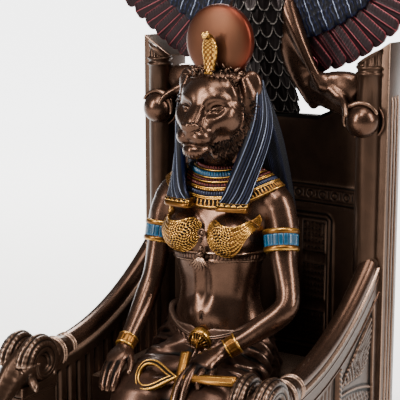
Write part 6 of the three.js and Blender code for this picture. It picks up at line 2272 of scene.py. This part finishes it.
@dataclass
class Falcon:
    """The falcon over the back: scaled body, head, legs and spread wings.

    Attributes:
        body: Height, middle, half width, front and back of the body's sections.
        tips: Tips of the flight feathers, across and up.
        roots: Their roots.
        count: Flight feathers in a wing.
        front: Front face of a wing, from the perch.
        thickness: Thickness of a wing.
    """

    body: tuple = ((0, 0, 14.4, 3, 3), (12, -1.6, 12.8, 4.4, 4), (23, -4, 12.4, 7, 5.6),
                   (35, -6, 13, 9.6, 7.4),
                   (48, -8, 13.4, 11.6, 8.4), (60, -8.6, 11.6, 11, 8.2), (69, -9, 8.6, 8.6, 7.4),
                   (76, -9.8, 7, 7.4, 7))
    tips: tuple = ((25, 19.9), (38, 22.4), (50.6, 28.6), (63, 38.4), (75.2, 49.2), (87, 61), (94.4, 77))
    roots: tuple = ((14, 30), (28, 35), (39, 40.6), (49, 46.6), (57, 55), (64.5, 66), (70, 79))
    count: int = 13
    front: float = -8.0
    thickness: float = 3.4

    def torso(self) -> Shell:
        """Works out the body: level ellipses under rows of overlapping scales that point down."""
        rows, columns = 200, 224
        table = spline(self.body, rows)
        turn = turns(columns)
        height = table[:, :1]
        tall, wide = 5.8, 2 * np.pi / 14
        row = height / tall
        stagger = np.floor(row) % 2 * 0.5
        cell = (((turn / wide + stagger) % 1) - 0.5) * 2
        v = row % 1
        edge = np.clip(np.hypot(cell * 0.95, 1 - v), 0, 1.3)
        scale = 1.2 * (1 - v) * (edge < 1) + 0.25 * bell(edge, 0.93, 0.07)
        quill = 0.15 * bell(cell, 0, 0.12) * (v > 0.2)
        lift = (scale + quill) * np.clip((70 - height) / 6, 0.25, 1) * unit(height / 2)
        bend = np.sin(turn)
        reach = np.where(bend < 0, table[:, 3:4], table[:, 4:5])
        x = (table[:, 2:3] + lift) * np.cos(turn)
        y = PERCH + table[:, 1:2] + (reach + lift) * bend
        z = np.broadcast_to(CREST + height - 0.5 * lift, x.shape)
        silver = bell(edge, 0.93, 0.06)
        return lattice(np.stack([x, y, z], -1), marks={"lift": 0.75 * silver - 0.15})

    def feathers(self) -> Shell:
        """Works out the +X wing's flight feathers, each a leaf with a quill and slanting barbs.

        A feather runs from its root to its tip. Its half width is constant, then
        closes as the root of the way left. The face is lifted by a thin quill in
        the middle, by fine barbs aslant to it, and lies a little over the next.

        Returns:
            The feathers.
        """
        shells = []
        tips, roots = spline(self.tips, self.count), spline(self.roots, self.count)
        s = shares(44)
        c = np.linspace(-1, 1, 19)[None]
        for k, (root, tip) in enumerate(zip(roots, tips)):
            way = (tip - root) / np.linalg.norm(tip - root)
            start = root - 8 * way
            length = np.linalg.norm(tip - start)
            half = 4.2 * np.sqrt(np.clip(1 - unit((s - 0.9) / 0.1) ** 2.4, 0.012, 1))
            x = start[0] + way[0] * s * length - way[1] * c * half
            z = start[1] + way[1] * s * length + way[0] * c * half
            quill = 0.5 * bell(c, 0, 0.1)
            if k < 4:
                quill = 0.4 * (bell(c, 0.16, 0.08) + bell(c + 0.16, 0, 0.08))
            barb = 0.09 * np.cos(2 * np.pi * (s * length / 1.5 + 1.1 * np.abs(c))) * (np.abs(c) > 0.2)
            lie = 0.55 * c - 0.35 * c**2
            y = self.front + 0.9 - (quill + barb + lie) * np.clip((1 - s) * 12, 0.2, 1)
            mark = 1.4 * quill + 0.1 * unit((np.abs(c) - 0.9) * 10) - 0.1
            face = falcon(np.stack(np.broadcast_arrays(x, y, z), -1).reshape(-1, 3)).reshape(44, 19, 3)
            back = face.copy()
            back[..., 1] = PERCH + self.front + self.thickness - 0.8 + 0.4 * c - 0.2 * bell(c, 0, 0.15)
            shells.append(plate(face, back, {"lift": 0.9 * mark}))
        return merged(shells)

    def coverts(self) -> Shell:
        """Works out the +X wing's navy part: long feathers beside each other, under small scales.

        Lines of equal share along the wing are the feathers' quills. Between them
        small arched scales stand in staggered rows. The lower edge is scalloped
        once a feather and the upper edge is a rounded roll.

        Returns:
            The navy part.
        """
        rows, columns = 84, 190
        low = spline([(4, 33), (14, 33.4), (25, 35.6), (37.5, 41.4), (48, 48.6), (56, 58), (61.4, 68),
                      (66, 84)], columns)
        high = spline([(4, 66), (16, 74.6), (30, 84.4), (44, 91), (54, 94), (62, 95), (68, 94.4), (74, 92)],
                      600)
        high = high[np.round(599 * np.linspace(0, 1, columns) ** 1.7).astype(int)]
        up = shares(rows)
        along = np.linspace(0, 1, columns)[None]
        cell = (along * 15 + 0.25 * np.sin(2.5 * up)) % 1
        low = low[None] - 0.8 * np.sin(np.pi * cell[:1])[..., None] * np.array([-0.5, 0.85])
        x = low[..., 0] + (high[None, :, 0] - low[..., 0]) * up
        z = low[..., 1] + (high[None, :, 1] - low[..., 1]) * up
        quill = bell(cell, 0.5, 0.06)
        seam = bell(np.minimum(cell, 1 - cell), 0, 0.06)
        row = up * 13
        across = (along * 45 + np.floor(row) * 0.5) % 1
        scale = bell(np.hypot((across - 0.5) * 1.9, row % 1), 0.82, 0.16)
        edge = 1.5 * np.sqrt(unit(1 - ((up - 0.93) / 0.09) ** 2))
        lift = 0.45 * quill - 0.3 * seam + 0.22 * scale * (up < 0.86) * (up > 0.06) + edge
        fade = np.clip((1 - along) * 9, 0.3, 1)
        y = self.front - 0.9 - lift * fade
        face = falcon(np.stack([x, y, z], -1).reshape(-1, 3)).reshape(rows, columns, 3)
        back = face.copy()
        back[..., 1] = PERCH + self.front + self.thickness - 0.4 + 0.5 * quill
        return plate(face, back, {"lift": 1.1 * quill * (up < 0.9) * unit(up * 12) - 0.3 * seam - 0.4 - 0.8
                                  * (up < 0.03)})

    def wing_roll(self) -> Shell:
        """Carries a round section along the leading edge from the shoulder to the wing's bend."""
        path = spline(falcon([(6, -5.5, 66, 3), (26, -6.2, 80, 3), (46, -6.6, 90.4, 2.7),
                              (62, -6.6, 93.6, 2.2),
                              (80, -6.4, 91, 1.4)]), 80)
        return sweep(path[:, :3], circle(20), path[:, 3], (0, -1, 0))

    def head(self) -> Shell:
        """Models the head with brows, eyes and a hooked beak."""
        clay = Clay(falcon([(-10, -33, 62)])[0], falcon([(10, 1, 95.5)])[0], 0.4)
        clay.worm(falcon([(0, -9, 66, 8), (0, -9.6, 73, 7.2), (0, -10.4, 79, 7.1), (0, -10.8, 83, 6.2)]),
                  soft=1,
                  squash=(0.95, 1, 1))
        clay.worm(falcon([(0, -15, 80.6, 3.2), (0, -18.6, 80.4, 2.5), (0, -21.4, 78.4, 1.6),
                          (0, -22, 75.6, 0.6)]),
                  soft=1.6)
        clay.worm(falcon([(2.6, -17, 83.4, 0.8), (5.2, -14.6, 84, 1.2), (6.6, -10.4, 82.6, 0.8)]), soft=1,
                  pair=True)
        clay.egg(falcon([(5.2, -14.2, 81.4)])[0], (1.6, 1.7, 1.6), soft=0.3, pair=True)
        clay.worm(falcon([(4.4, -15.6, 79.4, 0.5), (5.8, -13, 76, 0.8), (6.2, -11.4, 72.6, 0.5)]), soft=0.8,
                  pair=True)
        clay.worm(falcon([(1.2, -20.6, 79.6, 0.3), (1.8, -19, 79.9, 0.4)]), soft=0.2, carve=True, pair=True)

        def down(x: Array, y: Array, z: Array) -> Array:
            """Small rows of feathers on the crown and nape."""
            fade = unit((y - 50.5) / 3)
            return 0.16 * fade * (np.cos(2 * np.pi * z / 2.4)
                                  * np.cos(2 * np.pi * (np.arctan2(x, 56 - y)) * 4))

        clay.raise_by(clay.low, clay.low + np.array([20, 34, 33]), down)
        return clay.shell()

    def legs(self) -> Shell:
        """Models the +X leg: a thigh with a smooth ridge, a flat-topped foot and three toes round the orb."""
        clay = Clay((0, 38, 176), (66, 68, 246), 0.55)
        clay.worm([(10, 56.6, 236, 6), (14, 57, 225, 7.4), (17, 57, 214.5, 7.4), (20.8, 56.4, 205.0, 5.4),
                   (25.2, 56.2, 194.4, 2.0)], soft=2, squash=(1, 0.7, 1))
        clay.worm([(9, 57, 243, 3.4), (13.8, 53.6, 234.6, 3.0), (18.4, 51.8, 226.6, 2.6),
                   (22.8, 51, 218.4, 2.3),
                   (27.2, 50.6, 210.6, 2.2), (31.6, 50.4, 203.8, 2.4)], soft=4)
        clay.worm([(29, 53.6, 205, 3.6), (35, 52.4, 202.6, 3.2), (41.4, 50.4, 198.2, 2.6)], soft=2)
        clay.worm([(32, 53.6, 206.4, 3.0), (38, 54.4, 206.6, 4.2), (44, 55.6, 205.6, 4.6),
                   (48.6, 57, 203, 3.6)], soft=2.4,
                  squash=(1, 0.9, 0.8))
        clay.egg((42, 53.6, 202), (6.4, 3, 4.4), soft=2)
        clay.worm([(25.6, 55.4, 199, 3.4), (35, 54.6, 196.8, 4.4), (43, 53.4, 194.6, 4.4)], soft=2.6,
                  squash=(1, 0.7, 1))
        orb = np.array(Back.orb)
        for radius, back, start, end, thick in ((8.0, -1.6, 150, 30, 1.1), (7.9, -1.6, 152, 196, 1.0)):
            turn = np.radians(np.linspace(start, end, 9))
            arc = orb + np.stack([radius * np.cos(turn), back + 0 * turn, radius * np.sin(turn)], 1)
            size = np.linspace(1.35, 0.7, 9) * thick
            clay.worm(np.column_stack([arc, size]), soft=0.8)
        clay.worm([(42, 49.6, 198, 2.0), (45.2, 45.6, 195.6, 1.5), (46.9, 43.0, 192.4, 0.9)], soft=1)
        return clay.shell()

    def build(self) -> None:
        """Builds the falcon."""
        piece("falcon_body", self.torso(), FEATHER_RUBBED_AND_HIGHLIGHTED, Look.FEATHER, "falcon", rounds=5, reach=0.3)
        piece("flight_feathers", both(self.feathers()), MAROON_RUBBED_AND_HIGHLIGHTED, Look.MAROON, "falcon", rounds=3,
              reach=0.3)
        piece("coverts", both(self.coverts()), NAVY_RUBBED_AND_HIGHLIGHTED, Look.NAVY, "falcon", rounds=4, reach=0.3)
        piece("leading_edges", both(self.wing_roll()), NAVY_RUBBED_AND_HIGHLIGHTED, Look.NAVY, "falcon", rounds=2, reach=0.8)
        piece("falcon_head", self.head(), FEATHER_RUBBED_AND_HIGHLIGHTED, Look.FEATHER, "falcon", rounds=6, reach=0.3)
        piece("falcon_legs", both(self.legs()), BRONZE_SKIN, Look.FEATHER, "falcon", rounds=8, reach=0.5)


# Studio


@dataclass
class Studio:
    """Camera, lights, sky and floor.

    Attributes:
        azimuth: The camera's turn towards +X, in degrees.
        elevation: Its height, in degrees.
        lens: Focal length in millimetres on a 36 mm frame.
        distance: From the target, in metres.
        target: What it looks at, in metres.
    """

    azimuth: float = 31.0
    elevation: float = 10.7
    lens: float = 112.5
    distance: float = 0.525
    target: tuple = (0, 0.001, 0.158)

    @staticmethod
    def towards(azimuth: float, elevation: float) -> Vector:
        """Returns the unit direction at a turn from the front towards +X and a height, in degrees."""
        a, e = math.radians(azimuth), math.radians(elevation)
        return Vector((math.sin(a) * math.cos(e), -math.cos(a) * math.cos(e), math.sin(e)))

    def camera(self) -> None:
        """Sets up the camera."""
        data = bpy.data.cameras.new("camera")
        data.lens, data.sensor_width, data.clip_start = self.lens, 36.0, 0.01
        thing = bpy.data.objects.new("camera", data)
        back = self.towards(self.azimuth, self.elevation)
        thing.location = Vector(self.target) + self.distance * back
        thing.rotation_euler = (-back).to_track_quat("-Z", "Y").to_euler()
        bpy.context.scene.collection.objects.link(thing)
        bpy.context.scene.camera = thing

    @staticmethod
    def light(name: str, place: Row, towards: Row, size: Row,
              power: float, colour: str) -> None:
        """Adds a soft box.

        Args:
            name: Its name.
            place: Where it stands, in metres.
            towards: What it faces.
            size: Its width and height.
            power: Its power in watts.
            colour: Its colour.
        """
        data = bpy.data.lights.new(name, "AREA")
        data.shape, data.size, data.size_y, data.energy = "RECTANGLE", size[0], size[1], power
        data.color = to_linear(colour)[:3]
        thing = bpy.data.objects.new(name, data)
        thing.location = place
        thing.rotation_euler = (Vector(towards) - Vector(place)).to_track_quat("-Z", "Y").to_euler()
        bpy.context.scene.collection.objects.link(thing)

    def build(self) -> None:
        """Sets up the studio."""
        self.camera()
        world = bpy.data.worlds.new("studio")
        world.use_nodes = True
        sky = world.node_tree.nodes["Background"]
        sky.inputs["Color"].default_value = to_linear("#f4f4f4")
        sky.inputs["Strength"].default_value = 0.16
        bpy.context.scene.world = world
        for name, azimuth, elevation, size, power in (("left", -27, 28, (0.14, 0.9), 27),
                                                      ("front", 13, 58, (0.12, 0.3), 9),
                                                      ("side", 95, 28, (0.18, 0.8), 22),
                                                      ("top", 60, 80, (0.5, 0.5), 10),
                                                      ("rear", 215, 35, (0.3, 0.6), 16)):
            self.light(name, Vector((0, 0, 0.16)) + 1.1 * self.towards(azimuth, elevation), (0, 0, 0.16),
                       size, power,
                       "#fffaf4")
        mesh = bpy.data.meshes.new("floor")
        mesh.from_pydata([(-40, -40, 0), (40, -40, 0), (40, 40, 0), (-40, 40, 0)], [], [(0, 1, 2, 3)])
        material = bpy.data.materials.new("PaleStudioFloor")
        material.use_nodes = True
        shader = material.node_tree.nodes["Principled BSDF"]
        shader.inputs["Base Color"].default_value = to_linear("#dededc")
        shader.inputs["Roughness"].default_value = 0.9
        # The floor glows, from 0.4 in front to 4.6 far behind the statue: painted light that brightens the backdrop
        # and lights the statue from below and behind
        shader.inputs["Emission Color"].default_value = to_linear("#ffffff")
        tree = material.node_tree
        spot = add_node(tree, "ShaderNodeTexCoord").outputs["Object"]
        away = add_node(tree, "ShaderNodeVectorMath", {0: spot, 1: (-0.52, 0.855, 0)},
                        operation="DOT_PRODUCT")
        painted_floor_glow = add_node(tree, "ShaderNodeMapRange",
                        {"Value": away.outputs["Value"], "From Min": -0.4, "From Max": 1.8,
                                                     "To Min": 0.4, "To Max": 4.6},
                        interpolation_type="SMOOTHERSTEP").outputs[0]
        tree.links.new(painted_floor_glow, shader.inputs["Emission Strength"])
        mesh.materials.append(material)
        floor = bpy.data.objects.new("floor", mesh)
        floor.location.z = -0.0002
        bpy.context.scene.collection.objects.link(floor)


def main() -> None:
    """Builds the studio and every sub-assembly."""
    logging.basicConfig(level=logging.INFO, format="%(message)s")
    Studio().build()
    body = Body()
    body.build()
    Legs().build()
    Head().build()
    Wig().build()
    Collar().build()
    Crown().build()
    Ankh().build()
    Jewellery(body.clay).build()
    Base().build()
    Arms().build()
    Back().build()
    Falcon().build()


if __name__ == "__main__":
    main()
